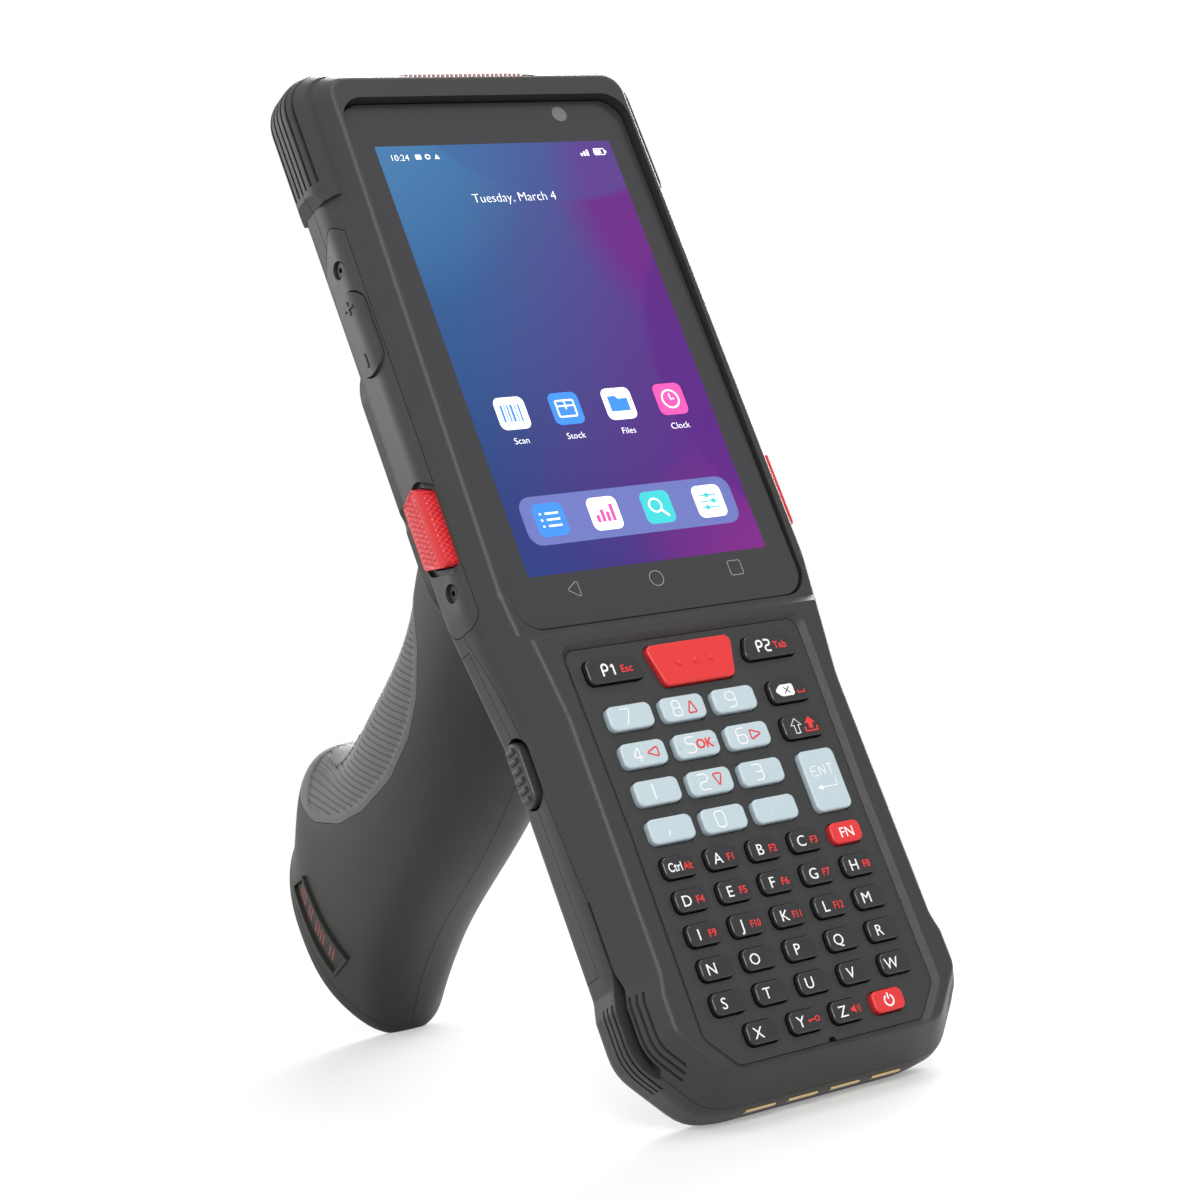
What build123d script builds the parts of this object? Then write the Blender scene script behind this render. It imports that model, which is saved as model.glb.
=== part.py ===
from build123d import *
import math
import os

os.makedirs("parts", exist_ok=True)

# A keypad data terminal on a pistol grip.  Every piece is drawn in the terminal's own frame:
# X to the right, Y towards the scanning end, Z out of the screen, with the origin at the middle
# of the glass's front face.  At the end the whole assembly is stood up on its two resting edges.

# ---------------------------------------------------------------- terminal outline, front view
top_end = 62.0
bottom_end = -139.6
head_half_width = 37.5
waist_half_width = 34.5
foot_half_width = 35.4
waist_start = -46.0
waist_end = -70.0
foot_start = -115.0
foot_flare = 3.5
foot_corner_rise = 12.0
foot_corner_inset = 9.4
foot_corner_drop = 0.9
foot_end_half_width = 19.0
head_corner_radius = 9.0
waist_radius = 22.0
foot_radius = 9.0
foot_end_radius = 30.0
flare_radius = 1.5

# ------------------------------------------------------------------ terminal depths, side view
ridge_face = 2.0
low_face = 0.5
brow_end = 50.0
valley_end = -53.8
valley_rise = 1.6
shoulder_level = -5.3
bevel_inset = 5.4
shoulder_radius = 6.0
ridge_radius = 1.2
rear_shoulder = -11.6
head_back = -16.5
rear_bevel_inset = 4.0
rear_edge_radius = 2.4
slope_start = -64.0
slope_end = -80.0
keypad_back = -13.5
wall_inset = 4.2
roof_level = -2.9
floor_thickness = 2.0

# ------------------------------------------------------------------- parting line, side view
head_seam = -8.2
head_seam_end = -50.0
neck_seam = -6.3
neck_seam_y = -60.0
waist_seam = -4.4
waist_seam_y = -100.0
foot_seam = -4.2
seam_gap = 0.12

# ---------------------------------------------------------- corner guards, grooves, strap slots
guard_proud = 0.9
guard_front = -1.6
guard_rear = -13.2
guard_end = 34.8
guard_slope = 2.8
guard_inner_x = 28.0
groove_width = 0.55
groove_depth = 0.75
groove_pitch = 1.42
grooves_each_side = 3
groove_end = 38.7
groove_inner_x = 31.0
foot_groove_levels = [-0.9, -1.9, -2.9, -6.0, -7.3, -8.6]
foot_groove_width = 0.45
foot_groove_depth = 0.55
foot_groove_start = -117.3
foot_groove_end = -132.6
foot_groove_inner_x = 28.5
strap_slot_start = -100.0
strap_slot_neck = -112.5
strap_slot_wide = -116.0
strap_slot_close = -130.0
strap_slot_end = -132.0
strap_slot_thin = 0.2
strap_slot_half = 0.95
strap_slot_depth = 3.8
strap_slot_level = -4.3

# ------------------------------------------------------------------------------ display stack
glass_width = 62.5
glass_length = 105.4
glass_centre_y = -0.4
glass_thickness = 1.8
glass_corner = 5.0
glass_gap = 0.2
glass_edge = 0.25
ledge_width = 2.2
display_gap = 1.6
display_thickness = 2.4
board_level = -5.8
board_thickness = 1.2
board_top = 54.0
board_end = -44.0
shield_height = 1.8
shield_width = 40.0
shield_length = 26.0
shield_pitch = 34.0
shield_centre_y = 6.0

# ------------------------------------------------------------------------------------ keypad
plate_level = 1.0
plate_thickness = 1.6
plate_top = -57.9
plate_bottom = -133.1
plate_top_half = 25.3
plate_waist_half = 24.5
plate_waist_y = -92.0
plate_foot_half = 24.7
plate_chamfer_y = 5.7
plate_chamfer_x = 5.0
plate_corner = 2.0
plate_gap = 0.12
recess_flare = 1.1
microphone_radius = 0.8
mat_edge = 0.9
mat_gap = 0.2
mat_thickness = 0.9
key_board_thickness = 1.0
key_top = 2.05
key_gap = 0.2
key_corner = 1.3
key_edge = 0.4
key_travel = 0.6
flange_lip = 0.2
flange_thickness = 0.4
rest_gap = 0.05

small_key_width = 6.7
small_key_height = 3.9
small_pitch_x = 9.05
small_pitch_y = 6.04
small_first_row = -98.6
small_columns = 5
digit_key_width = 9.2
digit_key_height = 4.5
digit_pitch_x = 11.15
digit_pitch_y = 6.9
digit_first_row = -71.4
digit_first_column = -17.0
side_column = 17.5
side_key_width = 8.6
side_key_height = 4.3
enter_x = 17.9
enter_width = 7.8
soft_key_width = 11.3
soft_key_height = 4.5
soft_key_x = 16.9
soft_key_y = -62.6
soft_key_slant = 0.8
scan_key_top_width = 19.0
scan_key_bottom_width = 15.0
scan_key_height = 7.8
scan_key_y = -63.2
scan_dot_radius = 0.55
scan_dot_pitch = 3.4

# -------------------------------------------------------------------- side panels and buttons
panel_front = -3.2
panel_rear = -11.8
panel_bottom = -49.0
panel_tip = 30.3
panel_tip_level = -5.6
panel_front_top = 28.2
panel_shoulder = 22.5
panel_corner = 3.0
panel_tip_corner = 1.2
panel_floor = 34.8
panel_gap = 0.15
screw_upper_y = 22.2
screw_lower_y = -41.6
screw_level = -6.9
panel_screw_head = 1.4
panel_screw_head_height = 1.0
panel_screw_shaft = 0.9
panel_screw_sink = 0.5
panel_screw_ring = 0.3
panel_screw_socket = 0.55
panel_screw_length = 3.5
panel_screw_socket_depth = 0.6
screw_clearance = 0.06
rocker_y = 9.25
rocker_length = 16.3
rocker_width = 6.4
rocker_level = -6.9
rocker_proud = 0.6
rocker_floor = 34.0
rocker_depth = 0.5
sign_length = 2.6
sign_width = 0.5
sign_height = 0.25
sign_offset = 5.2
button_gap = 0.25
scan_button_tip = -21.8
scan_button_tip_level = -6.2
scan_button_top = -23.3
scan_button_front_end = -37.7
scan_button_rear_end = -35.5
scan_button_front = -4.2
scan_button_rear = -10.3
scan_button_corner = 0.8
scan_button_proud = 1.3
scan_button_inner = 34.9
scan_button_travel = 0.6
scan_pocket_margin = 1.3
scan_pocket_depth = 0.9

# -------------------------------------------------------------------- battery, cover, latches
cover_top = -52.0
cover_bottom = -112.0
cover_edge_top = -8.8
cover_edge_bottom = -7.4
cover_gap = 0.12
cover_wall = 1.6
bay_wall = 2.0
tray_thickness = 1.2
tray_gap = 0.15
tray_ring = 1.4
battery_half_width = 25.0
battery_length = 49.0
battery_thickness = 7.6
battery_gap = 0.3
battery_edge = 1.2
bulge_half_width = 30.5
bulge_margin = 1.5
bulge_base = -12.0
bulge_back = -18.6
bulge_taper = 30.0
bulge_corner = 6.0
bulge_edge = 1.6
latch_y = -75.2
latch_level = -8.9
latch_length = 11.8
latch_width = 4.3
latch_recess_length = 13.0
latch_recess_width = 6.2
latch_recess_level = -8.3
latch_recess_floor = 31.0
latch_gap = 0.1
latch_outer = 35.3
latch_rib_count = 6
latch_rib_radius = 0.55
latch_rib_pitch = 1.75

# ----------------------------------------------------------------- scanner head and top end
head_bulge_half = 25.0
head_bulge_start = 24.0
head_bulge_end = 61.2
head_bulge_base = -12.0
head_bulge_back = -22.5
head_bulge_taper = 22.0
head_bulge_corner = 5.0
head_bulge_edge = 1.8
head_wall = 2.0
head_hollow_half = 17.0
window_half_width = 13.0
window_front = -9.2
window_rear = -19.0
window_thickness = 1.4
window_recess = 0.7
window_corner = 2.0
window_seat = 1.2
window_gap = 0.1
engine_width = 24.0
engine_length = 12.0
engine_height = 9.6
engine_clearance = 1.0
lens_radius = 3.0
lens_length = 0.8
camera_x = 10.5
camera_y = 36.0
camera_radius = 4.5
camera_depth = 4.0
camera_proud = 0.6
camera_lens_radius = 2.6
camera_lens_recess = 0.5
mesh_length = 25.0
mesh_width = 2.4
mesh_thickness = 0.6
mesh_slant = 1.6
mesh_pocket_margin = 0.5
mesh_pocket_flare = 35.0
mesh_tilt = 31.0
mesh_centre_y = 58.4
mesh_floor_level = -1.9
contact_length = 6.3
contact_width = 1.1
contact_pitch = 9.1
contact_level = -6.4
contact_count = 4
contact_depth = 3.0
contact_proud = 0.1

# -------------------------------------------------------------------------------- case screws
post_radius = 2.4
post_gap = 0.1
case_screw_shaft = 0.95
case_screw_head = 1.8
case_screw_head_height = 1.2
case_screw_head_gap = 0.15
case_screw_sink = 0.1
case_screw_socket = 0.9
case_screw_socket_depth = 0.7
case_screw_length = 10.7
screw_hole_spare = 0.4
case_screw_x = 30.0
case_screw_top_y = 51.5
case_screw_bottom_y = -46.0
case_screw_foot_x = 28.0
case_screw_foot_y = -122.0

# ------------------------------------------------------------------------------- pistol grip
cradle_half_width = 34.0
cradle_top = 13.0
cradle_bottom = -46.8
cradle_thickness = 3.6
cradle_corner = 12.0
cradle_edge = 1.4
cradle_notch_y = -22.2
cradle_notch_radius = 3.3
cradle_notch_depth = 0.9
cradle_screw_x = 27.0
cradle_screw_top_y = 6.0
cradle_screw_bottom_y = -32.0
tenon_front = -18.0
tenon_length = 12.0
tenon_gap = 0.2
# Each station is: level below the glass, finger side, palm side, half width.
grip_stations = [
    (-34.0, -3.6, -47.5, 17.0),
    (-47.0, -9.0, -52.5, 16.9),
    (-60.0, -19.0, -58.5, 16.8),
    (-75.0, -25.6, -64.8, 16.8),
    (-90.0, -29.7, -69.6, 16.6),
    (-103.0, -32.6, -73.2, 16.4),
    (-112.0, -30.8, -76.4, 16.3),
    (-120.0, -27.8, -80.3, 16.2),
    (-138.0, -38.5, -91.0, 16.0),
]
neck_front = -2.0
neck_rear = -45.0
neck_half_width = 17.0
section_power = 2.4
section_points = 24
grip_wall = 2.4
grip_seam = 0.1
butt_level = -134.5
butt_tilt = 4.4
butt_centre_y = -62.0
butt_thickness = 2.6
butt_gap = 0.1
butt_edge = 1.0
insert_depth = 1.4
insert_gap = 0.12
insert_corner = 9.0
# The finger insert's border in side view, from the trigger down to the shelf.
insert_border = [
    (6.0, -51.5),
    (-21.0, -51.5),
    (-32.4, -54.6),
    (-40.2, -60.5),
    (-45.6, -68.0),
    (-49.6, -79.3),
    (-50.7, -93.4),
    (-49.3, -104.3),
    (-44.7, -115.0),
    (-38.0, -120.5),
    (-20.0, -122.5),
    (6.0, -122.5),
]
badge_proud = 0.7
badge_frame = 0.6
badge_corners = [(-52.8, -124.6), (-52.6, -130.6), (-74.0, -128.6), (-72.6, -122.4)]

trigger_half_width = 4.4
trigger_gap = 0.35
trigger_slot_top = -22.2
trigger_slot_bottom = -50.0
trigger_pin_y = -11.0
trigger_pin_level = -27.5
trigger_pin_radius = 1.5
trigger_pin_length = 25.0
trigger_hub_radius = 4.0
trigger_profile = [(-8.0, -24.2), (3.0, -25.0), (6.2, -28.5), (4.4, -36.0), (3.4, -42.0), (5.4, -48.6),
                   (1.6, -49.0), (-2.6, -42.0), (-3.6, -35.0), (-8.0, -30.0)]
trigger_edge = 1.0
running_clearance = 0.05
boss_radius = 3.4
boss_start = 7.6
spring_wire = 0.4
spring_radius = 2.6
spring_turns = 2.0
spring_pitch = 1.0
spring_start = 5.0
switch_half_width = 3.0
switch_front = -7.6
switch_length = 5.0
switch_top = -35.0
switch_bottom = -42.0
switch_rib = 2.0
switch_gap = 0.1
plunger_radius = 0.9
plunger_length = 2.2
grip_screw_shaft = 1.2
grip_screw_head = 2.3
grip_screw_head_height = 1.6
grip_screw_head_gap = 0.2
grip_screw_socket = 1.1
grip_screw_socket_depth = 0.9
cradle_screw_length = 8.0
cradle_boss_height = 5.0
shell_screw_length = 18.0
# Each place is: Y, level, and the X of the seat under the screw's head.
shell_screw_places = [
    (-33.0, -26.0, 14.4),
    (-46.5, -61.0, 12.5),
    (-58.5, -88.0, 12.5),
    (-60.0, -117.0, 12.5),
]

# ------------------------------------------------------------------------------------ stance
lean = 23.4
floor_drop = 132.4

# ---------------------------------------------------------------------------- derived places
far = 60.0
tiny = 0.01
front_taper = math.degrees(math.atan(bevel_inset / (ridge_face - shoulder_level)))
rear_taper = math.degrees(math.atan(rear_bevel_inset / (rear_shoulder - head_back)))
up = Vector(0, math.cos(math.radians(lean)), math.sin(math.radians(lean)))
floor_plane = Plane(origin=up * -floor_drop, x_dir=(1, 0, 0), z_dir=up)
plate_back = plate_level - plate_thickness
flange_level = plate_back - rest_gap
mat_top = flange_level - flange_thickness - key_travel - rest_gap
key_board_top = mat_top - mat_thickness
neck_level = head_back - cradle_thickness
pocket_floor = bulge_back + cover_wall
tray_bottom = pocket_floor + battery_thickness + battery_gap
tray_top = tray_bottom + tray_thickness
bay_middle = (cover_top + cover_bottom) / 2
butt_normal = Vector(0, math.sin(math.radians(butt_tilt)), math.cos(math.radians(butt_tilt)))
butt_plane = Plane(origin=(0, butt_centre_y, butt_level), x_dir=(1, 0, 0), z_dir=butt_normal)
mesh_out = Vector(0, math.sin(math.radians(mesh_tilt)), math.cos(math.radians(mesh_tilt)))
mesh_plane = Plane(origin=(0, mesh_centre_y, mesh_floor_level), x_dir=(1, 0, 0), z_dir=mesh_out)
# A screw's size is: head radius, head height, gap round the head, shaft radius, socket, socket depth.
case_screw_size = (
    case_screw_head,
    case_screw_head_height,
    case_screw_head_gap,
    case_screw_shaft,
    case_screw_socket,
    case_screw_socket_depth,
)
panel_screw_size = (
    panel_screw_head,
    panel_screw_head_height,
    panel_gap,
    panel_screw_shaft,
    panel_screw_socket,
    panel_screw_socket_depth,
)
panel_ring_size = (
    panel_screw_head,
    panel_screw_head_height,
    panel_screw_ring,
    panel_screw_shaft,
    panel_screw_socket,
    panel_screw_socket_depth,
)
grip_screw_size = (
    grip_screw_head,
    grip_screw_head_height,
    grip_screw_head_gap,
    grip_screw_shaft,
    grip_screw_socket,
    grip_screw_socket_depth,
)
sides = {"left": -1, "right": 1}
pieces = {}


# ------------------------------------------------------------------------------------ helpers
def side_shape(points, x=0.0, radius=0.0, grow=0.0):
    """A closed outline seen from the side, from (Y, Z) corners, at one X distance."""
    with BuildSketch(Plane.YZ.offset(x)) as shape:
        with BuildLine():
            Polyline(*points, close=True)
        make_face()
        if radius:
            fillet(shape.vertices(), radius)
        if grow:
            offset(amount=grow, kind=Kind.ARC)
    return shape.sketch


def side_slot(y, level, length, width, x):
    """A round-ended slot seen from the side, at one X distance."""
    with BuildSketch(Plane.YZ.offset(x)) as shape:
        with Locations((y, level)):
            SlotOverall(length, width)
    return shape.sketch


def plan_shape(points, level):
    """A closed outline seen from the front, from (X, Y) corners, at one level."""
    with BuildSketch(Plane.XY.offset(level)) as shape:
        with BuildLine():
            Polyline(*points, close=True)
        make_face()
    return shape.sketch


def plan_box(left, right, low, high, level):
    """A plain rectangle seen from the front, between X and Y limits, at one level."""
    return plan_shape([(left, low), (right, low), (right, high), (left, high)], level)


def rounded_box(width, low, high, corner, level):
    """A centred rounded rectangle seen from the front, at one level."""
    with BuildSketch(Plane.XY.offset(level)) as shape:
        with Locations((0, (low + high) / 2)):
            RectangleRounded(width, high - low, corner)
    return shape.sketch


def level_edges(part, level):
    """The edges of a part that lie at one level."""
    return part.edges().filter_by_position(Axis.Z, level - tiny, level + tiny)


def run_up(sketch, amount):
    """A level outline run straight towards the front."""
    with BuildPart() as run:
        extrude(to_extrude=sketch, amount=amount, dir=(0, 0, 1))
    return run.part


def keep(name, part):
    """File a finished piece under its node name."""
    part.label = name
    pieces[name] = part


# -------------------------------------------------------------------------- terminal outer form
def outline(level, inset=0.0):
    """The terminal's front outline at one level, drawn in by an inset."""
    half = [
        (head_half_width, top_end),
        (head_half_width, waist_start),
        (waist_half_width, waist_end),
        (waist_half_width, foot_start),
        (foot_half_width, foot_start - foot_flare),
        (foot_half_width, bottom_end + foot_corner_rise),
        (foot_half_width - foot_corner_inset, bottom_end + foot_corner_drop),
        (foot_end_half_width, bottom_end),
    ]
    radii = [
        head_corner_radius,
        waist_radius,
        waist_radius,
        flare_radius,
        flare_radius,
        foot_radius,
        foot_radius,
        foot_end_radius,
    ]
    loop = [(-x, y) for x, y in half] + [(x, y) for x, y in reversed(half)]
    with BuildSketch(Plane.XY.offset(level)) as face:
        with BuildLine():
            Polyline(*loop, close=True)
        make_face()
        for (x, y), radius in zip(half, radii):
            corners = face.vertices().filter_by_position(Axis.Y, y - tiny, y + tiny)
            fillet([corner for corner in corners if abs(abs(corner.X) - x) < tiny], radius)
        if inset:
            offset(amount=-inset, kind=Kind.ARC)
    return face.sketch


def grown_form(grow=0.0, rounded=True):
    """The terminal's outer form before any cut, let out all round by an amount."""
    edge = outline(shoulder_level, -grow)
    with BuildPart() as rear:
        extrude(
            to_extrude=outline(-rear_shoulder, -grow),
            amount=rear_shoulder - head_back,
            taper=rear_taper,
        )
    with BuildPart() as form:
        extrude(to_extrude=edge, amount=ridge_face - shoulder_level, taper=front_taper)
        extrude(to_extrude=edge, amount=shoulder_level - rear_shoulder, dir=(0, 0, -1))
        mirror(rear.part, about=Plane.XY)
        if rounded:
            fillet(level_edges(form, shoulder_level), shoulder_radius)
            fillet(level_edges(form, rear_shoulder), rear_edge_radius)
    return form.part


def corner_guards():
    """Two bands that stand proud on the scanning end's sides and run out round its corners."""
    corner = [
        (guard_inner_x, guard_end),
        (head_half_width, guard_end),
        (head_half_width + guard_proud, guard_end + guard_slope),
        (head_half_width + far, guard_end + guard_slope),
        (head_half_width + far, top_end + far),
        (guard_inner_x, top_end + far),
    ]
    with BuildPart() as guards:
        add(grown_form().moved(Location((guard_proud, 0, 0))))
        extrude(
            to_extrude=plan_shape(corner, guard_rear),
            amount=guard_front - guard_rear,
            dir=(0, 0, 1),
            mode=Mode.INTERSECT,
        )
        mirror(about=Plane.YZ)
    return guards.part


def grooves(levels, width, inner_x, low, high, grow):
    """Thin level slots on both sides, open outwards, as deep as a grown form."""
    with BuildPart() as cutter:
        for level in levels:
            extrude(
                to_extrude=plan_box(inner_x, far, low, high, level - width / 2),
                amount=width,
                dir=(0, 0, 1),
            )
        mirror(about=Plane.YZ)
        add(grown_form(grow, rounded=False), mode=Mode.SUBTRACT)
    return cutter.part


def rim(part, low, high):
    """The long edges round the front face between two Y values, without the cross steps."""
    found = []
    for edge in part.edges():
        middle = edge.center()
        level = abs(edge.tangent_at(0.5).X) > 1 - tiny
        crosswise = level and valley_end - far / 10 < middle.Y < brow_end + tiny
        if low < middle.Y < high and middle.Z > 0 and not crosswise:
            found.append(edge)
    return found


def closed_form():
    """The whole terminal's outer form, still solid and in one piece."""
    valley = [
        (brow_end, ridge_face),
        (valley_end, low_face),
        (valley_end - valley_rise, ridge_face),
        (valley_end - valley_rise, ridge_face + far),
        (brow_end, ridge_face + far),
    ]
    slope = [
        (slope_start, head_back - far),
        (slope_start, head_back),
        (slope_end, keypad_back),
        (bottom_end - far, keypad_back),
        (bottom_end - far, head_back - far),
    ]
    slot = [
        (strap_slot_start, strap_slot_thin),
        (strap_slot_neck, strap_slot_thin),
        (strap_slot_wide, strap_slot_half),
        (strap_slot_close, strap_slot_half),
        (strap_slot_end, strap_slot_thin),
    ]
    strap_slot = [(y, strap_slot_level + half) for y, half in slot]
    strap_slot += [(y, strap_slot_level - half) for y, half in reversed(slot)]
    middle_groove = grooves_each_side
    levels = [head_seam + (i - middle_groove) * groove_pitch for i in range(2 * grooves_each_side + 1)]
    head_grooves = grooves(
        levels, groove_width, groove_inner_x, groove_end, top_end + far, guard_proud - groove_depth
    )
    foot_grooves = grooves(
        foot_groove_levels,
        foot_groove_width,
        foot_groove_inner_x,
        foot_groove_end,
        foot_groove_start,
        -foot_groove_depth,
    )
    with BuildPart() as form:
        add(grown_form())
        extrude(to_extrude=side_shape(valley), amount=far, both=True, mode=Mode.SUBTRACT)
        extrude(to_extrude=side_shape(slope), amount=far, both=True, mode=Mode.SUBTRACT)
        fillet(rim(form, bottom_end, valley_end - valley_rise), ridge_radius)
        fillet(rim(form, valley_end, top_end), ridge_radius)
        add(corner_guards())
        add(head_grooves, mode=Mode.SUBTRACT)
        add(foot_grooves, mode=Mode.SUBTRACT)
        for side in sides.values():
            slot_x = side * (foot_half_width - strap_slot_depth)
            extrude(
                to_extrude=side_shape(strap_slot, slot_x), amount=far, dir=(side, 0, 0), mode=Mode.SUBTRACT
            )
            recess = side_slot(
                latch_y,
                latch_recess_level,
                latch_recess_length,
                latch_recess_width,
                side * latch_recess_floor,
            )
            extrude(to_extrude=recess, amount=far, dir=(side, 0, 0), mode=Mode.SUBTRACT)
        split(bisect_by=floor_plane, keep=Keep.TOP)
    return form.part


# --------------------------------------------------------------------------- terminal housings
def seam_side(upper):
    """The space in front of the parting line, or behind it."""
    step = seam_gap / 2 if upper else -seam_gap / 2
    end = far if upper else -far
    line = [
        (far + top_end, head_seam),
        (head_seam_end, head_seam),
        (neck_seam_y, neck_seam),
        (waist_seam_y, waist_seam),
        (bottom_end - far, foot_seam),
    ]
    border = [(y, level + step) for y, level in line]
    border += [(bottom_end - far, end), (far + top_end, end)]
    with BuildPart() as space:
        extrude(to_extrude=side_shape(border), amount=far, both=True)
    return space.part


def hollow():
    """The room inside both housings, shallow over the battery and deep in the head and foot."""
    head_floor = head_back + floor_thickness
    foot_floor = keypad_back + floor_thickness
    profile = [
        (far + top_end, roof_level),
        (far + top_end, head_floor),
        (cover_top + bay_wall, head_floor),
        (cover_top + bay_wall, tray_top),
        (cover_bottom - bay_wall, tray_top),
        (cover_bottom - bay_wall, foot_floor),
        (bottom_end - far, foot_floor),
        (bottom_end - far, roof_level),
    ]
    with BuildPart() as room:
        extrude(to_extrude=outline(head_back, wall_inset), amount=roof_level - head_back, dir=(0, 0, 1))
        extrude(to_extrude=side_shape(profile), amount=far, both=True, mode=Mode.INTERSECT)
    return room.part


def case_screw_places():
    """Each case screw's X, Y and the level of the back that it enters."""
    places = []
    for side in sides.values():
        places.append((side * case_screw_x, case_screw_top_y, head_back))
        places.append((side * case_screw_x, case_screw_bottom_y, head_back))
        places.append((side * case_screw_foot_x, case_screw_foot_y, keypad_back))
    return places


def screw(plane, size, length):
    """A socket screw: its head's face lies on the plane and its shaft runs along the plane's normal."""
    head, head_height, head_gap, shaft, socket, socket_depth = size
    with BuildPart() as body:
        with BuildSketch(plane):
            Circle(head)
        extrude(amount=head_height)
        with BuildSketch(plane):
            Circle(shaft)
        extrude(amount=length)
        with BuildSketch(plane):
            RegularPolygon(socket, 6)
        extrude(amount=socket_depth, mode=Mode.SUBTRACT)
    return body.part


def screw_room(plane, size, length):
    """The hole for a screw: a wide way in down to the seat, and a bore for the shaft."""
    head, head_height, head_gap, shaft, socket, socket_depth = size
    with BuildPart() as room:
        with BuildSketch(plane.offset(-far)):
            Circle(head + head_gap)
        extrude(amount=far + head_height)
        with BuildSketch(plane):
            Circle(shaft + screw_clearance)
        extrude(amount=length + screw_hole_spare)
    return room.part


def case_screw_plane(x, y, back):
    """Where a case screw's head faces out of the back."""
    return Plane(origin=(x, y, back + case_screw_sink), x_dir=(1, 0, 0), z_dir=(0, 0, 1))


def panel_screw_planes():
    """Where the side panels' screw heads face outwards."""
    planes = []
    for side in sides.values():
        face = side * (head_half_width - panel_screw_sink)
        for y in (screw_upper_y, screw_lower_y):
            planes.append(Plane(origin=(face, y, screw_level), x_dir=(0, 1, 0), z_dir=(-side, 0, 0)))
    return planes


def cradle_screw_planes():
    """Where the cradle's screw heads face backwards."""
    level = neck_level + case_screw_sink
    planes = []
    for side in sides.values():
        for y in (cradle_screw_top_y, cradle_screw_bottom_y):
            planes.append(Plane(origin=(side * cradle_screw_x, y, level), x_dir=(1, 0, 0), z_dir=(0, 0, 1)))
    return planes


def shell_screw_planes():
    """Where the grip shells' screw heads face outwards, on the right side."""
    return [
        Plane(origin=(seat + grip_screw_head_height, y, level), x_dir=(0, 1, 0), z_dir=(-1, 0, 0))
        for y, level, seat in shell_screw_places
    ]


def panel_outline(x, grow=0.0):
    """A side panel's border, seen from the side."""
    border = [
        (panel_tip, panel_tip_level),
        (panel_front_top, panel_front),
        (panel_bottom, panel_front),
        (panel_bottom, panel_rear),
        (panel_shoulder, panel_rear),
    ]
    with BuildSketch(Plane.YZ.offset(x)) as shape:
        with BuildLine():
            Polyline(*border, close=True)
        make_face()
        low = shape.vertices().filter_by_position(Axis.X, panel_bottom - tiny, panel_bottom + tiny)
        fillet(low, panel_corner)
        high = shape.vertices().filter_by_position(Axis.X, panel_shoulder - tiny, panel_tip + tiny)
        fillet(high, panel_tip_corner)
        if grow:
            offset(amount=grow, kind=Kind.ARC)
    return shape.sketch


def scan_button_outline(x, grow=0.0):
    """A side scan button's six-cornered border, seen from the side."""
    border = [
        (scan_button_tip, scan_button_tip_level),
        (scan_button_top, scan_button_front),
        (scan_button_front_end, scan_button_front),
        (scan_button_rear_end, scan_button_rear),
        (scan_button_top, scan_button_rear),
    ]
    return side_shape(border, x, scan_button_corner, grow)


def outward(sketch, side):
    """A side-view border run straight outwards from its own plane."""
    with BuildPart() as run:
        extrude(to_extrude=sketch, amount=far, dir=(side, 0, 0))
    return run.part


def plate_shape(level, grow=0.0):
    """The keypad plate's outline at one level."""
    half = [
        (plate_top_half, plate_top),
        (plate_waist_half, plate_waist_y),
        (plate_foot_half, plate_bottom + plate_chamfer_y),
        (plate_foot_half - plate_chamfer_x, plate_bottom),
    ]
    loop = [(-x, y) for x, y in half] + [(x, y) for x, y in reversed(half)]
    with BuildSketch(Plane.XY.offset(level)) as face:
        with BuildLine():
            Polyline(*loop, close=True)
        make_face()
        top = face.vertices().filter_by_position(Axis.Y, plate_top - tiny, plate_top + tiny)
        low = face.vertices().filter_by_position(
            Axis.Y, plate_bottom - tiny, plate_bottom + plate_chamfer_y + tiny
        )
        fillet(top + low, plate_corner)
        if grow:
            offset(amount=grow, kind=Kind.ARC)
    return face.sketch


def glass_shape(level, grow=0.0):
    """The screen glass's outline at one level."""
    low = glass_centre_y - glass_length / 2 - grow
    high = glass_centre_y + glass_length / 2 + grow
    return rounded_box(glass_width + 2 * grow, low, high, glass_corner + min(grow, 0) / 2, level)


def mesh_shape(grow=0.0):
    """The speaker mesh's six-cornered outline, on the floor of its pocket."""
    half_length = mesh_length / 2 + grow
    half_width = mesh_width / 2 + grow
    border = [
        (-half_length - mesh_slant, 0),
        (-half_length, -half_width),
        (half_length, -half_width),
        (half_length + mesh_slant, 0),
        (half_length, half_width),
        (-half_length, half_width),
    ]
    with BuildSketch(mesh_plane) as shape:
        with BuildLine():
            Polyline(*border, close=True)
        make_face()
    return shape.sketch


def contact_bars():
    """The charging contacts, as bars let into the bottom end."""
    with BuildPart() as bars:
        with BuildSketch(Plane.XY.offset(contact_level - contact_width / 2)):
            with Locations((0, bottom_end - contact_proud + (contact_depth + contact_proud) / 2)):
                with GridLocations(contact_pitch, 0, contact_count, 1):
                    Rectangle(contact_length, contact_depth + contact_proud)
        extrude(amount=contact_width)
    return bars.part


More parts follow.
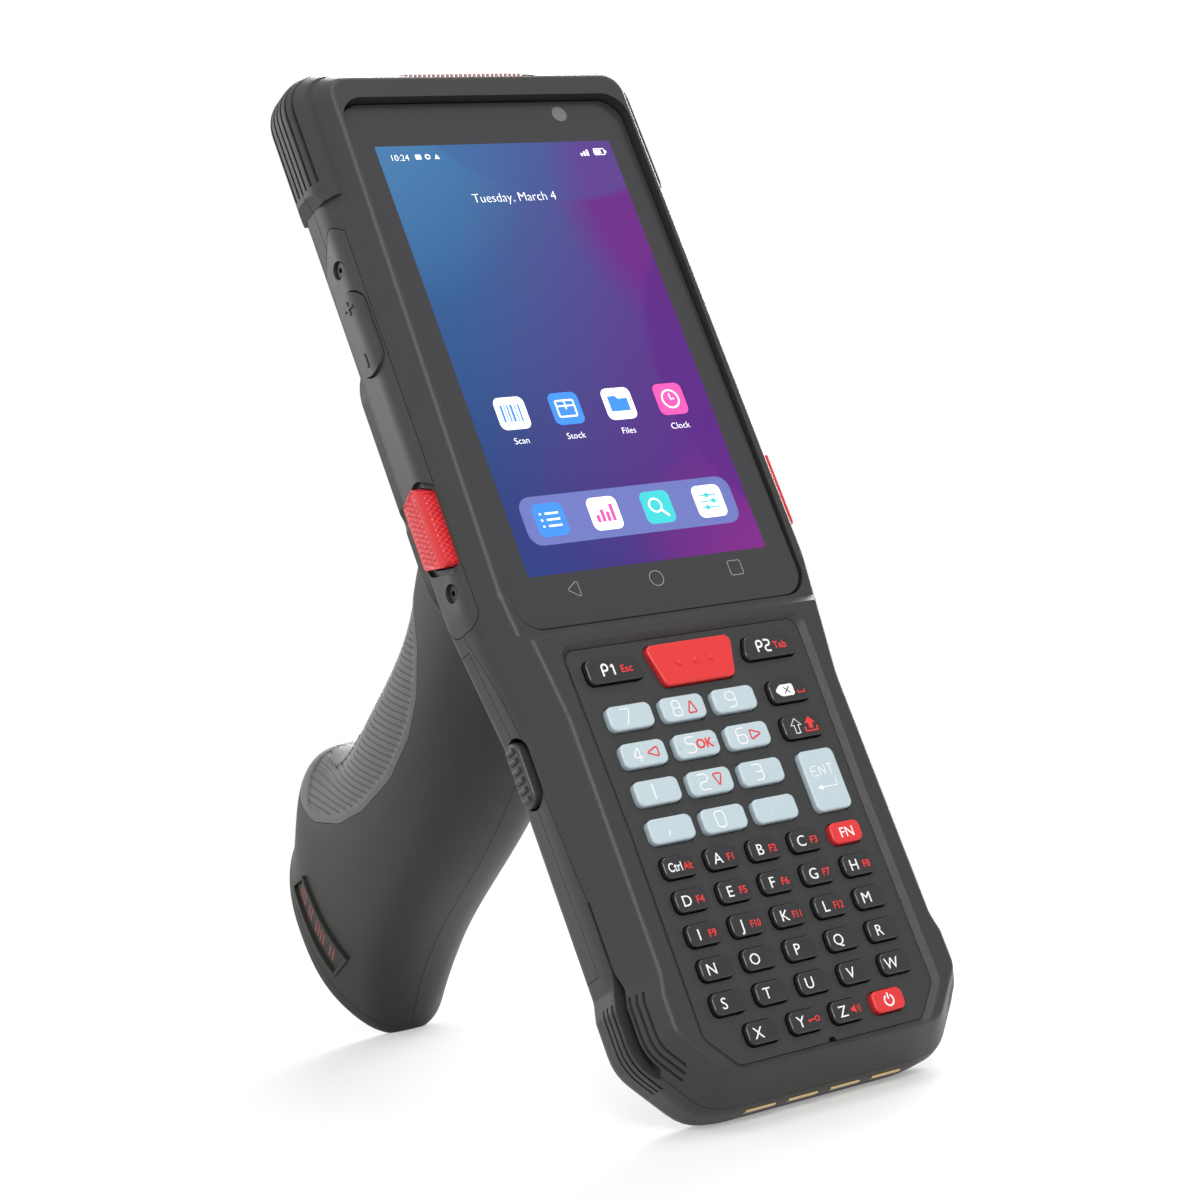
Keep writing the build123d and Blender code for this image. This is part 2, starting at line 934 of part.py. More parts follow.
def shell(form):
    """Both housings as one hollow body, with screw posts and every pocket in the sides."""
    with BuildPart() as posts:
        for x, y, back in case_screw_places():
            with BuildSketch(Plane.XY.offset(back + floor_thickness - tiny)):
                with Locations((x, y)):
                    Circle(post_radius)
            extrude(amount=roof_level - back - floor_thickness + 2 * tiny)
    with BuildPart() as body:
        add(form)
        add(hollow(), mode=Mode.SUBTRACT)
        add(posts.part)
        for x, y, back in case_screw_places():
            plane = case_screw_plane(x, y, back)
            add(screw_room(plane, case_screw_size, case_screw_length), mode=Mode.SUBTRACT)
        for plane in panel_screw_planes():
            add(screw_room(plane, panel_screw_size, panel_screw_length), mode=Mode.SUBTRACT)
        for side in sides.values():
            add(outward(panel_outline(side * panel_floor, panel_gap), side), mode=Mode.SUBTRACT)
            button_x = side * (scan_button_inner - scan_button_travel - panel_gap)
            add(outward(scan_button_outline(button_x, button_gap), side), mode=Mode.SUBTRACT)
        rocker_room = side_slot(
            rocker_y,
            rocker_level,
            rocker_length + 2 * button_gap,
            rocker_width + 2 * button_gap,
            sides["left"] * rocker_floor,
        )
        add(outward(rocker_room, sides["left"]), mode=Mode.SUBTRACT)
    return body.part


def front_housing(body):
    """The front half: the bezel, the keypad's frame and the bumpers' front parts."""
    with BuildPart() as housing:
        add(body)
        add(seam_side(upper=True), mode=Mode.INTERSECT)
        add(run_up(glass_shape(-glass_thickness, glass_gap), far), mode=Mode.SUBTRACT)
        add(run_up(glass_shape(roof_level - tiny, -ledge_width), far), mode=Mode.SUBTRACT)
        add(run_up(plate_shape(plate_back, plate_gap), far), mode=Mode.SUBTRACT)
        add(run_up(plate_shape(roof_level - tiny, -mat_edge + mat_gap), far), mode=Mode.SUBTRACT)
        loft(
            sections=[
                plate_shape(plate_level, plate_gap).face(),
                plate_shape(ridge_face + tiny, plate_gap + recess_flare).face(),
            ],
            mode=Mode.SUBTRACT,
        )
        extrude(
            to_extrude=mesh_shape(mesh_pocket_margin),
            amount=far / 10,
            dir=mesh_out,
            taper=-mesh_pocket_flare,
            mode=Mode.SUBTRACT,
        )
    return housing.part


def rear_swelling(half_width, low, high, corner, base, back, taper, edge):
    """A rounded, tapered swelling that stands out of the terminal's back."""
    with BuildPart() as rise:
        extrude(
            to_extrude=rounded_box(2 * half_width, low, high, corner, -base), amount=base - back, taper=taper
        )
        fillet(level_edges(rise, -back), edge)
    with BuildPart() as swelling:
        mirror(rise.part, about=Plane.XY)
    return swelling.part


def cover_space(gap=0.0):
    """The space behind the battery cover's edge line, drawn in by a gap."""
    border = [
        (cover_top - gap, cover_edge_top - gap),
        (cover_bottom + gap, cover_edge_bottom - gap),
        (cover_bottom + gap, head_back - far),
        (cover_top - gap, head_back - far),
    ]
    with BuildPart() as space:
        extrude(to_extrude=side_shape(border), amount=far, both=True)
    return space.part


def rear_housing(body):
    """The rear half, with the battery's tray, the scanner's head and its window."""
    window_low = head_bulge_end - window_recess - window_thickness
    with BuildPart() as tray:
        add(run_up(outline(tray_bottom, wall_inset - tray_gap), roof_level - tray_bottom))
        add(run_up(outline(tray_top, wall_inset + tray_ring), roof_level - tray_top), mode=Mode.SUBTRACT)
        low = cover_bottom - bay_wall / 2
        high = cover_top + bay_wall / 2
        add(run_up(plan_box(-far, far, low, high, tray_bottom), far), mode=Mode.INTERSECT)
    with BuildPart() as bay:
        add(cover_space())
        add(run_up(outline(tray_bottom, wall_inset + tray_gap), far), mode=Mode.SUBTRACT)
    with BuildPart() as housing:
        add(body)
        add(tray.part)
        add(seam_side(upper=False), mode=Mode.INTERSECT)
        add(bay.part, mode=Mode.SUBTRACT)
        add(head_swelling())
        add(head_room(), mode=Mode.SUBTRACT)
        window_pocket = Plane.XZ.offset(-window_low)
        with BuildSketch(window_pocket):
            with Locations((0, (window_front + window_rear) / 2)):
                RectangleRounded(
                    2 * (window_half_width + window_gap),
                    window_front - window_rear + 2 * window_gap,
                    window_corner + window_gap,
                )
        extrude(amount=far, dir=(0, 1, 0), mode=Mode.SUBTRACT)
        with BuildSketch(Plane.XZ.offset(-(top_end - 2 * wall_inset))):
            with Locations((0, (window_front + window_rear) / 2)):
                RectangleRounded(
                    2 * (window_half_width - window_seat),
                    window_front - window_rear - 2 * window_seat,
                    window_corner,
                )
        extrude(amount=far, dir=(0, 1, 0), mode=Mode.SUBTRACT)
        with BuildSketch(Plane.XY.offset(head_bulge_back - far)):
            with Locations((camera_x, camera_y)):
                Circle(camera_radius + post_gap)
        extrude(amount=far + camera_depth, mode=Mode.SUBTRACT)
        add(contact_bars(), mode=Mode.SUBTRACT)
        for plane in cradle_screw_planes():
            place = plane.origin
            with BuildSketch(Plane.XY.offset(head_back + floor_thickness - tiny)):
                with Locations((place.X, place.Y)):
                    Circle(boss_radius)
            extrude(amount=cradle_boss_height)
        for plane in cradle_screw_planes():
            with BuildSketch(plane):
                Circle(grip_screw_shaft + screw_clearance)
            extrude(amount=cradle_screw_length + screw_hole_spare, mode=Mode.SUBTRACT)
    return housing.part


def head_swelling():
    """The scanner's swelling, cut off square at the scanning end."""
    with BuildPart() as swelling:
        add(
            rear_swelling(
                head_bulge_half,
                head_bulge_start,
                head_bulge_end + far / 4,
                head_bulge_corner,
                head_bulge_base,
                head_bulge_back,
                head_bulge_taper,
                head_bulge_edge,
            )
        )
        extrude(
            to_extrude=plan_box(-far, far, -far, head_bulge_end, head_bulge_back),
            amount=far,
            dir=(0, 0, 1),
            mode=Mode.INTERSECT,
        )
        add(hollow(), mode=Mode.SUBTRACT)
    return swelling.part


def head_room():
    """The scanner engine's room inside the head's swelling."""
    with BuildPart() as room:
        extrude(
            to_extrude=plan_box(
                -head_hollow_half,
                head_hollow_half,
                head_bulge_start + 3 * head_wall,
                top_end - wall_inset,
                head_bulge_back + head_wall,
            ),
            amount=head_back + floor_thickness - head_bulge_back - head_wall + tiny,
            dir=(0, 0, 1),
        )
    return room.part


# ----------------------------------------------------------------------- screen, boards, scanner
def screen_glass():
    """The cover glass over the touch screen."""
    with BuildPart() as glass:
        extrude(to_extrude=glass_shape(-glass_thickness), amount=glass_thickness, dir=(0, 0, 1))
        chamfer(level_edges(glass, 0), glass_edge)
    return glass.part


def display_module():
    """The display panel bonded behind the glass."""
    grow = -ledge_width - display_gap
    with BuildPart() as display:
        extrude(
            to_extrude=glass_shape(-glass_thickness - display_thickness, grow),
            amount=display_thickness,
            dir=(0, 0, 1),
        )
    return display.part


def main_board():
    """The main circuit board with its two shield cans."""
    half = case_screw_x - post_radius - post_gap
    with BuildPart() as board:
        extrude(
            to_extrude=plan_box(-half, half, board_end, board_top, board_level - board_thickness),
            amount=board_thickness,
            dir=(0, 0, 1),
        )
        with BuildSketch(Plane.XY.offset(board_level - board_thickness - shield_height)):
            with Locations((0, shield_centre_y)):
                with GridLocations(0, shield_pitch, 1, 2):
                    Rectangle(shield_width, shield_length)
        extrude(amount=shield_height)
    return board.part


def scan_window():
    """The red-tinted window in the scanning end."""
    low = head_bulge_end - window_recess - window_thickness
    with BuildPart() as window:
        with BuildSketch(Plane.XZ.offset(-low)):
            with Locations((0, (window_front + window_rear) / 2)):
                RectangleRounded(2 * window_half_width, window_front - window_rear, window_corner)
        extrude(amount=window_thickness, dir=(0, 1, 0))
    return window.part


def scan_engine():
    """The scan engine on the floor of the head, facing the window."""
    base = head_bulge_back + head_wall
    high = top_end - wall_inset - engine_clearance
    with BuildPart() as engine:
        extrude(
            to_extrude=plan_box(-engine_width / 2, engine_width / 2, high - engine_length, high, base),
            amount=engine_height,
            dir=(0, 0, 1),
        )
        with BuildSketch(Plane.XZ.offset(-high)):
            with Locations((0, (window_front + window_rear) / 2)):
                Circle(lens_radius)
        extrude(amount=lens_length, dir=(0, 1, 0))
    return engine.part


def rear_camera():
    """The round camera in the back of the head."""
    face = head_bulge_back - camera_proud
    with BuildPart() as camera:
        with BuildSketch(Plane.XY.offset(face)):
            with Locations((camera_x, camera_y)):
                Circle(camera_radius)
        extrude(amount=camera_depth)
        with BuildSketch(Plane.XY.offset(face)):
            with Locations((camera_x, camera_y)):
                Circle(camera_lens_radius)
        extrude(amount=camera_lens_recess, mode=Mode.SUBTRACT)
    return camera.part


def speaker_mesh():
    """The woven strip over the speaker, in the bevel of the scanning end."""
    with BuildPart() as mesh:
        extrude(to_extrude=mesh_shape(), amount=mesh_thickness, dir=mesh_out)
    return mesh.part


# ------------------------------------------------------------------------------------- keypad
def box_corners(x, y, width, height):
    """The corners of a rectangle given by its middle and size."""
    return [
        (x - width / 2, y - height / 2),
        (x + width / 2, y - height / 2),
        (x + width / 2, y + height / 2),
        (x - width / 2, y + height / 2),
    ]


def soft_key_corners(side):
    """The corners of an upper function key, whose inner end slants like the scan key's."""
    outer = side * (soft_key_x + soft_key_width / 2)
    inner = side * (soft_key_x - soft_key_width / 2)
    low = soft_key_y - soft_key_height / 2
    high = soft_key_y + soft_key_height / 2
    corners = [
        (outer, low),
        (inner - side * soft_key_slant, low),
        (inner + side * soft_key_slant, high),
        (outer, high),
    ]
    return corners if side < 0 else list(reversed(corners))


def key_layout():
    """Every key node with the corners of each cap in it."""
    layout = {}
    top_half = scan_key_top_width / 2
    low_half = scan_key_bottom_width / 2
    low = scan_key_y - scan_key_height / 2
    high = scan_key_y + scan_key_height / 2
    layout["scan_key"] = [[(-low_half, low), (low_half, low), (top_half, high), (-top_half, high)]]
    layout["key_p1"] = [soft_key_corners(sides["left"])]
    layout["key_p2"] = [soft_key_corners(sides["right"])]
    digit_rows = [("7", "8", "9"), ("4", "5", "6"), ("1", "2", "3"), ("comma", "0", "dot")]
    for row, names in enumerate(digit_rows):
        for column, name in enumerate(names):
            x = digit_first_column + column * digit_pitch_x
            y = digit_first_row - row * digit_pitch_y
            layout["key_" + name] = [box_corners(x, y, digit_key_width, digit_key_height)]
    for row, name in enumerate(("backspace", "shift")):
        y = digit_first_row - row * digit_pitch_y
        layout["key_" + name] = [box_corners(side_column, y, side_key_width, side_key_height)]
    enter_y = digit_first_row - 2.5 * digit_pitch_y
    layout["key_enter"] = [box_corners(enter_x, enter_y, enter_width, digit_key_height + digit_pitch_y)]
    rows = {
        "ctrl_a_to_c": (4, small_columns),
        "d_to_h": (5, small_columns),
        "i_to_m": (5, small_columns),
        "n_to_r": (5, small_columns),
        "s_to_w": (5, small_columns),
        "x_to_z": (3, small_columns - 1),
    }
    for row, (name, (count, columns)) in enumerate(rows.items()):
        y = small_first_row - row * small_pitch_y
        places = [(column - (columns - 1) / 2) * small_pitch_x for column in range(columns)]
        caps = [box_corners(x, y, small_key_width, small_key_height) for x in places]
        layout["keys_" + name] = caps[:count]
        if name == "ctrl_a_to_c":
            layout["key_fn"] = caps[count:]
        if name == "x_to_z":
            layout["key_power"] = caps[count:]
    return layout


def key_face(corners, level, grow=0.0):
    """One key's rounded outline at one level."""
    with BuildSketch(Plane.XY.offset(level)) as face:
        with BuildLine():
            Polyline(*corners, close=True)
        make_face()
        fillet(face.vertices(), key_corner)
        if grow:
            offset(amount=grow, kind=Kind.ARC)
    return face.sketch


def keypad_plate(layout):
    """The plate round the keys, with a hole for each one and a small microphone notch."""
    with BuildSketch(Plane.XY.offset(plate_back)) as openings:
        for caps in layout.values():
            for corners in caps:
                add(key_face(corners, plate_back, key_gap))
        with Locations((0, plate_bottom)):
            Circle(microphone_radius)
    with BuildPart() as plate:
        extrude(to_extrude=plate_shape(plate_back), amount=plate_thickness, dir=(0, 0, 1))
        extrude(to_extrude=openings.sketch, amount=plate_thickness, dir=(0, 0, 1), mode=Mode.SUBTRACT)
    return plate.part


def key_caps(caps):
    """One key node: each cap with its flange below the plate."""
    with BuildPart() as keys:
        for corners in caps:
            flange = key_face(corners, flange_level - flange_thickness, flange_lip + key_gap)
            add(run_up(flange, flange_thickness))
            add(run_up(key_face(corners, flange_level - tiny), key_top - flange_level + tiny))
        fillet(level_edges(keys, key_top), key_edge)
    return keys.part


def scan_key(caps):
    """The wide scan key, with three round dots on its face."""
    with BuildPart() as key:
        add(key_caps(caps))
        with BuildSketch(Plane.XY.offset(key_top - key_edge)):
            with Locations((0, scan_key_y)):
                with GridLocations(scan_dot_pitch, 0, 3, 1):
                    Circle(scan_dot_radius)
        extrude(amount=2 * key_edge)
        fillet(level_edges(key, key_top + key_edge), key_edge - tiny)
    return key.part


def keypad_mat():
    """The rubber mat under the keys."""
    with BuildPart() as mat:
        extrude(
            to_extrude=plate_shape(mat_top - mat_thickness, -mat_edge), amount=mat_thickness, dir=(0, 0, 1)
        )
    return mat.part


def keypad_board():
    """The keypad's own circuit board, behind the mat."""
    with BuildPart() as board:
        extrude(
            to_extrude=plate_shape(key_board_top - key_board_thickness, -mat_edge),
            amount=key_board_thickness,
            dir=(0, 0, 1),
        )
    return board.part


# ---------------------------------------------------------------------- side panels and buttons
def side_panel(form, side):
    """A side's cover strip, cut from the outer form, with holes for its button and screws."""
    button_room = side * (panel_floor - tiny)
    with BuildPart() as dish:
        add(outward(scan_button_outline(button_room, scan_pocket_margin), side))
        add(grown_form(-scan_pocket_depth, rounded=False), mode=Mode.SUBTRACT)
    with BuildPart() as panel:
        add(form)
        add(outward(panel_outline(side * panel_floor), side), mode=Mode.INTERSECT)
        add(dish.part, mode=Mode.SUBTRACT)
        add(outward(scan_button_outline(button_room, button_gap), side), mode=Mode.SUBTRACT)
        for plane in panel_screw_planes():
            add(screw_room(plane, panel_ring_size, panel_screw_length), mode=Mode.SUBTRACT)
        if side == sides["left"]:
            opening = side_slot(
                rocker_y,
                rocker_level,
                rocker_length + 2 * button_gap,
                rocker_width + 2 * button_gap,
                button_room,
            )
            add(outward(opening, side), mode=Mode.SUBTRACT)
    return panel.part


def rocker_signs():
    """The plus and the minus on the rocker, as they are seen from the side."""
    with BuildSketch(Plane.YZ.offset(-rocker_floor - rocker_depth)) as signs:
        with Locations((rocker_y + sign_offset, rocker_level)):
            Rectangle(sign_length, sign_width)
            Rectangle(sign_width, sign_length)
        with Locations((rocker_y - sign_offset, rocker_level)):
            Rectangle(sign_length, sign_width)
    return signs.sketch


def volume_rocker():
    """The volume rocker on the left side, with a plus and a minus raised on it."""
    side = sides["left"]
    inner = side * (rocker_floor + rocker_depth)
    slot = side_slot(rocker_y, rocker_level, rocker_length, rocker_width, inner)
    with BuildPart() as signs:
        add(outward(rocker_signs(), side))
        add(grown_form(rocker_proud + sign_height), mode=Mode.INTERSECT)
    with BuildPart() as rocker:
        add(grown_form(rocker_proud))
        add(outward(slot, side), mode=Mode.INTERSECT)
        add(signs.part)
    return rocker.part


def scan_button(side):
    """A red scan button, standing proud of its side panel."""
    with BuildPart() as button:
        add(grown_form(scan_button_proud))
        add(outward(scan_button_outline(side * scan_button_inner), side), mode=Mode.INTERSECT)
    return button.part


# --------------------------------------------------------------------------- battery and latches
def battery_cover(form):
    """The cover over the battery bay, with its swelling and the pocket for the pack."""
    swell_low = cover_bottom + bulge_margin
    swell_high = cover_top - bulge_margin
    with BuildPart() as cover:
        add(form)
        add(cover_space(cover_gap), mode=Mode.INTERSECT)
        add(
            rear_swelling(
                bulge_half_width,
                swell_low,
                swell_high,
                bulge_corner,
                bulge_base,
                bulge_back,
                bulge_taper,
                bulge_edge,
            )
        )
        add(run_up(outline(tray_bottom - cover_gap, wall_inset), far), mode=Mode.SUBTRACT)
        low = bay_middle - battery_length / 2 - battery_gap
        high = bay_middle + battery_length / 2 + battery_gap
        width = 2 * (battery_half_width + battery_gap)
        pocket = rounded_box(width, low, high, battery_edge + battery_gap, pocket_floor)
        add(run_up(pocket, far), mode=Mode.SUBTRACT)
    return cover.part


def battery_pack():
    """The battery in its pocket."""
    low = bay_middle - battery_length / 2
    high = bay_middle + battery_length / 2
    with BuildPart() as pack:
        extrude(
            to_extrude=rounded_box(2 * battery_half_width, low, high, battery_edge, pocket_floor),
            amount=battery_thickness,
            dir=(0, 0, 1),
        )
    return pack.part


def battery_latch(side):
    """A ribbed sliding latch in the recess beside the battery cover."""
    inner = latch_recess_floor + latch_gap
    with BuildPart() as latch:
        extrude(
            to_extrude=side_slot(latch_y, latch_level, latch_length, latch_width, side * inner),
            amount=latch_outer - inner,
            dir=(side, 0, 0),
        )
        outer = side * latch_outer
        fillet(latch.edges().filter_by_position(Axis.X, outer - tiny, outer + tiny), latch_rib_radius)
        with BuildSketch(Plane.XY.offset(latch_level - latch_width / 4)):
            with Locations((side * (latch_outer - tiny), latch_y)):
                with GridLocations(0, latch_rib_pitch, 1, latch_rib_count):
                    Circle(latch_rib_radius)
        extrude(amount=latch_width / 2)
    return latch.part


# --------------------------------------------------------------------------------- pistol grip
def cradle():
    """The plate between terminal and grip, with a tenon that plugs the grip's neck."""
    with BuildPart() as tenon:
        add(grip_form(grip_wall + tenon_gap))
        extrude(
            to_extrude=plan_box(-far, far, -far, tenon_front, neck_level - tenon_length),
            amount=tenon_length,
            dir=(0, 0, 1),
            mode=Mode.INTERSECT,
        )
        add(screw_room(shell_screw_planes()[0], grip_screw_size, shell_screw_length), mode=Mode.SUBTRACT)
    with BuildPart() as plate:
        face = rounded_box(2 * cradle_half_width, cradle_bottom, cradle_top, cradle_corner, neck_level)
        add(run_up(face, cradle_thickness))
        fillet(level_edges(plate, neck_level), cradle_edge)
        with BuildSketch(Plane.XY.offset(neck_level)):
            for side in sides.values():
                reach = cradle_half_width + cradle_notch_radius - cradle_notch_depth
                with Locations((side * reach, cradle_notch_y)):
                    Circle(cradle_notch_radius)
        extrude(amount=cradle_thickness, mode=Mode.SUBTRACT)
        for plane in cradle_screw_planes():
            add(screw_room(plane, grip_screw_size, cradle_screw_length), mode=Mode.SUBTRACT)
        add(tenon.part)
    return plate.part


def grip_section(station, grow):
    """One closed level section of the grip, let out by an amount."""
    level, front, rear, half_width = station
    half_length = (front - rear) / 2 + grow
    power = 2 / section_power
    points = []
    for step in range(section_points):
        turn = 2 * math.pi * step / section_points
        across = math.copysign(abs(math.cos(turn)) ** power, math.cos(turn))
        along = math.copysign(abs(math.sin(turn)) ** power, math.sin(turn))
        points.append(((half_width + grow) * across, (front + rear) / 2 + half_length * along))
    with BuildSketch(Plane.XY.offset(level)) as section:
        with BuildLine():
            Spline(*points, periodic=True)
        make_face()
    return section.sketch


def grip_form(inset=0.0):
    """The grip's closed form from the cradle to below the butt, drawn in by an inset."""
    neck = (neck_level, neck_front, neck_rear, neck_half_width)
    with BuildPart() as form:
        loft(sections=[grip_section(station, -inset).face() for station in [neck] + grip_stations])
    return form.part


def butt_side(above, step):
    """The space above the butt's plane, or below it, with the plane moved up by a step."""
    with BuildPart() as space:
        with BuildSketch(butt_plane.offset(step)):
            Rectangle(4 * far, 4 * far)
        extrude(amount=far * 4, dir=butt_normal if above else butt_normal * -1)
    return space.part


def finger_zone(grow=0.0):
    """The finger insert's side-view zone, through the whole grip."""
    with BuildPart() as zone:
        extrude(to_extrude=side_shape(insert_border, 0, insert_corner, grow), amount=far, both=True)
    return zone.part


def finger_insert(form):
    """The soft insert let into the grip's finger side."""
    with BuildPart() as insert:
        add(form)
        add(grip_form(insert_depth), mode=Mode.SUBTRACT)
        add(finger_zone(), mode=Mode.INTERSECT)
    return insert.part


def badge_frames():
    """A raised frame round a sunk bare field, low on each side of the grip."""
    with BuildPart() as field:
        extrude(to_extrude=side_shape(badge_corners, 0, 0, -badge_frame), amount=far, both=True)
    with BuildPart() as frames:
        add(grip_form(-badge_proud))
        extrude(to_extrude=side_shape(badge_corners), amount=far, both=True, mode=Mode.INTERSECT)
        add(field.part, mode=Mode.SUBTRACT)
    return frames.part


def insert_pocket():
    """The shallow pocket that takes the finger insert."""
    with BuildPart() as pocket:
        add(grip_form(-insert_depth))
        add(grip_form(insert_depth), mode=Mode.SUBTRACT)
        add(finger_zone(insert_gap), mode=Mode.INTERSECT)
    return pocket.part


def shell_bosses():
    """The bosses for the shells' screws and the trigger's pin, and the switch's ribs."""
    rib_y = switch_front - switch_length / 2
    rib_level = (switch_top + switch_bottom) / 2
    with BuildPart() as bosses:
        for y, level, seat in shell_screw_places[1:]:
            with BuildSketch(Plane.YZ):
                with Locations((y, level)):
                    Circle(boss_radius)
            extrude(amount=neck_half_width, both=True)
        for side in sides.values():
            with BuildSketch(Plane.YZ.offset(side * boss_start)):
                with Locations((trigger_pin_y, trigger_pin_level)):
                    Circle(boss_radius)
            extrude(amount=neck_half_width, dir=(side, 0, 0))
            with BuildSketch(Plane.YZ.offset(side * (switch_half_width + switch_gap))):
                with Locations((rib_y, rib_level)):
                    Rectangle(switch_rib, switch_rib)
            extrude(amount=neck_half_width, dir=(side, 0, 0))
        add(grip_form(grip_wall / 2), mode=Mode.INTERSECT)
    return bosses.part


def grip_shells(form):
    """Both halves of the grip's shell, still joined down the middle."""
    slot = [
        (far, trigger_slot_top),
        (neck_rear / 2, trigger_slot_top),
        (neck_rear / 2, trigger_slot_bottom),
        (far, trigger_slot_bottom),
    ]
    with BuildPart() as shells:
        add(form)
        add(badge_frames())
        add(insert_pocket(), mode=Mode.SUBTRACT)
        add(grip_form(grip_wall), mode=Mode.SUBTRACT)
        slot_half = trigger_half_width + trigger_gap
        extrude(to_extrude=side_shape(slot), amount=slot_half, both=True, mode=Mode.SUBTRACT)
        add(shell_bosses())
        with BuildSketch(Plane.YZ):
            with Locations((trigger_pin_y, trigger_pin_level)):
                Circle(trigger_pin_radius + running_clearance)
        extrude(amount=trigger_pin_length / 2 + running_clearance, both=True, mode=Mode.SUBTRACT)
        for plane in shell_screw_planes():
            add(screw_room(plane, grip_screw_size, shell_screw_length), mode=Mode.SUBTRACT)
        add(butt_side(above=False, step=butt_thickness + butt_gap), mode=Mode.SUBTRACT)
    return shells.part


def grip_half(shells, side):
    """One half of the grip's shell."""
    seam = Plane.YZ.offset(side * grip_seam / 2)
    with BuildPart() as half:
        add(shells)
        split(bisect_by=seam, keep=Keep.TOP if side > 0 else Keep.BOTTOM)
    return half.part


def butt_cap(form):
    """The cap on the grip's lower end, with a small flat where it rests."""
    with BuildPart() as cap:
        add(form)
        add(butt_side(above=False, step=0), mode=Mode.SUBTRACT)
        low = cap.faces().sort_by(Axis.Z)[0]
        fillet(low.edges(), butt_edge)
        add(butt_side(above=True, step=butt_thickness), mode=Mode.SUBTRACT)
        split(bisect_by=floor_plane, keep=Keep.TOP)
    return cap.part


# ------------------------------------------------------------------------------------ trigger
def trigger():
    """The trigger, which swings on its pin inside the grip's neck."""
    with BuildPart() as lever:
        profile = side_shape(trigger_profile, 0, trigger_edge)
        extrude(to_extrude=profile, amount=trigger_half_width, both=True)
        with BuildSketch(Plane.YZ):
            with Locations((trigger_pin_y, trigger_pin_level)):
                Circle(trigger_hub_radius)
        extrude(amount=trigger_half_width, both=True)
        with BuildSketch(Plane.YZ):
            with Locations((trigger_pin_y, trigger_pin_level)):
                Circle(trigger_pin_radius + running_clearance)
        extrude(amount=trigger_half_width, both=True, mode=Mode.SUBTRACT)
    return lever.part


def trigger_pin():
    """The pin that the trigger swings on."""
    with BuildPart() as pin:
        with BuildSketch(Plane.YZ):
            with Locations((trigger_pin_y, trigger_pin_level)):
                Circle(trigger_pin_radius)
        extrude(amount=trigger_pin_length / 2, both=True)
    return pin.part


def trigger_spring():
    """The coil spring round the pin, beside the trigger."""
    with BuildPart() as spring:
        with BuildLine() as coil:
            Helix(
                pitch=spring_pitch,
                height=spring_pitch * spring_turns,
                radius=spring_radius,
                center=(spring_start, trigger_pin_y, trigger_pin_level),
                direction=(1, 0, 0),
            )
        with BuildSketch(Plane(origin=coil.line @ 0, z_dir=coil.line % 0)):
            Circle(spring_wire)
        sweep()
    return spring.part


def trigger_switch():
    """The switch behind the trigger, with its plunger."""
    level = (switch_top + switch_bottom) / 2
    with BuildPart() as switch:
        with BuildSketch(Plane.XZ.offset(-switch_front)):
            with Locations((0, level)):
                Rectangle(2 * switch_half_width, switch_top - switch_bottom)
        extrude(amount=switch_length, dir=(0, -1, 0))
        with BuildSketch(Plane.XZ.offset(-switch_front)):
            with Locations((0, level)):
                Circle(plunger_radius)
        extrude(amount=plunger_length, dir=(0, 1, 0))
    return switch.part


# ------------------------------------------------------------------------------ all the pieces
def group(parts):
    """Several alike pieces in one node."""
    with BuildPart() as whole:
        for part in parts:
            add(part)
    return whole.part


def terminal_pieces():
    """Everything on the terminal itself."""
    form = closed_form()
    body = shell(form)
    layout = key_layout()
    keep("front_housing", front_housing(body))
    keep("rear_housing", rear_housing(body))
    keep("screen_glass", screen_glass())
    keep("display_module", display_module())
    keep("main_board", main_board())
    keep("keypad_plate", keypad_plate(layout))
    keep("keypad_mat", keypad_mat())
    keep("keypad_board", keypad_board())
    for name, caps in layout.items():
        keep(name, scan_key(caps) if name == "scan_key" else key_caps(caps))
    keep("battery_pack", battery_pack())
    keep("battery_cover", battery_cover(form))
    for name, side in sides.items():
        keep("battery_latch_" + name, battery_latch(side))
        keep("side_panel_" + name, side_panel(form, side))
        keep("scan_button_" + name, scan_button(side))
    keep("volume_rocker", volume_rocker())
    panel_screws = [screw(plane, panel_screw_size, panel_screw_length) for plane in panel_screw_planes()]
    keep("panel_screws", group(panel_screws))
    case_planes = [case_screw_plane(*place) for place in case_screw_places()]
    keep("case_screws", group([screw(plane, case_screw_size, case_screw_length) for plane in case_planes]))
    keep("speaker_mesh", speaker_mesh())
    keep("charging_contacts", contact_bars())
    keep("scan_window", scan_window())
    keep("scan_engine", scan_engine())
    keep("rear_camera", rear_camera())


def grip_pieces():
    """Everything that belongs to the pistol grip."""
    form = grip_form()
    shells = grip_shells(form)
    keep("grip_cradle", cradle())
    for name, side in sides.items():
        keep("grip_shell_" + name, grip_half(shells, side))
    keep("grip_insert", finger_insert(form))
    keep("grip_butt_cap", butt_cap(form))
    keep("trigger", trigger())
    keep("trigger_pin", trigger_pin())
    keep("trigger_spring", trigger_spring())
    keep("trigger_switch", trigger_switch())
    cradle_screws = [screw(plane, grip_screw_size, cradle_screw_length) for plane in cradle_screw_planes()]
    shell_screws = [screw(plane, grip_screw_size, shell_screw_length) for plane in shell_screw_planes()]
    keep("grip_screws", group(cradle_screws + shell_screws))


def stand_up():
    """Every piece turned onto the two resting edges, with the origin under the middle."""
    turned = {name: part.moved(Location((0, 0, 0), (90 - lean, 0, 0))) for name, part in pieces.items()}
    boxes = [part.bounding_box() for part in turned.values()]
    low = [min(getattr(box.min, axis) for box in boxes) for axis in "XYZ"]
    high = [max(getattr(box.max, axis) for box in boxes) for axis in "XYZ"]
    shift = Location((-(low[0] + high[0]) / 2, -(low[1] + high[1]) / 2, -low[2]))
    return {name: part.moved(shift) for name, part in turned.items()}


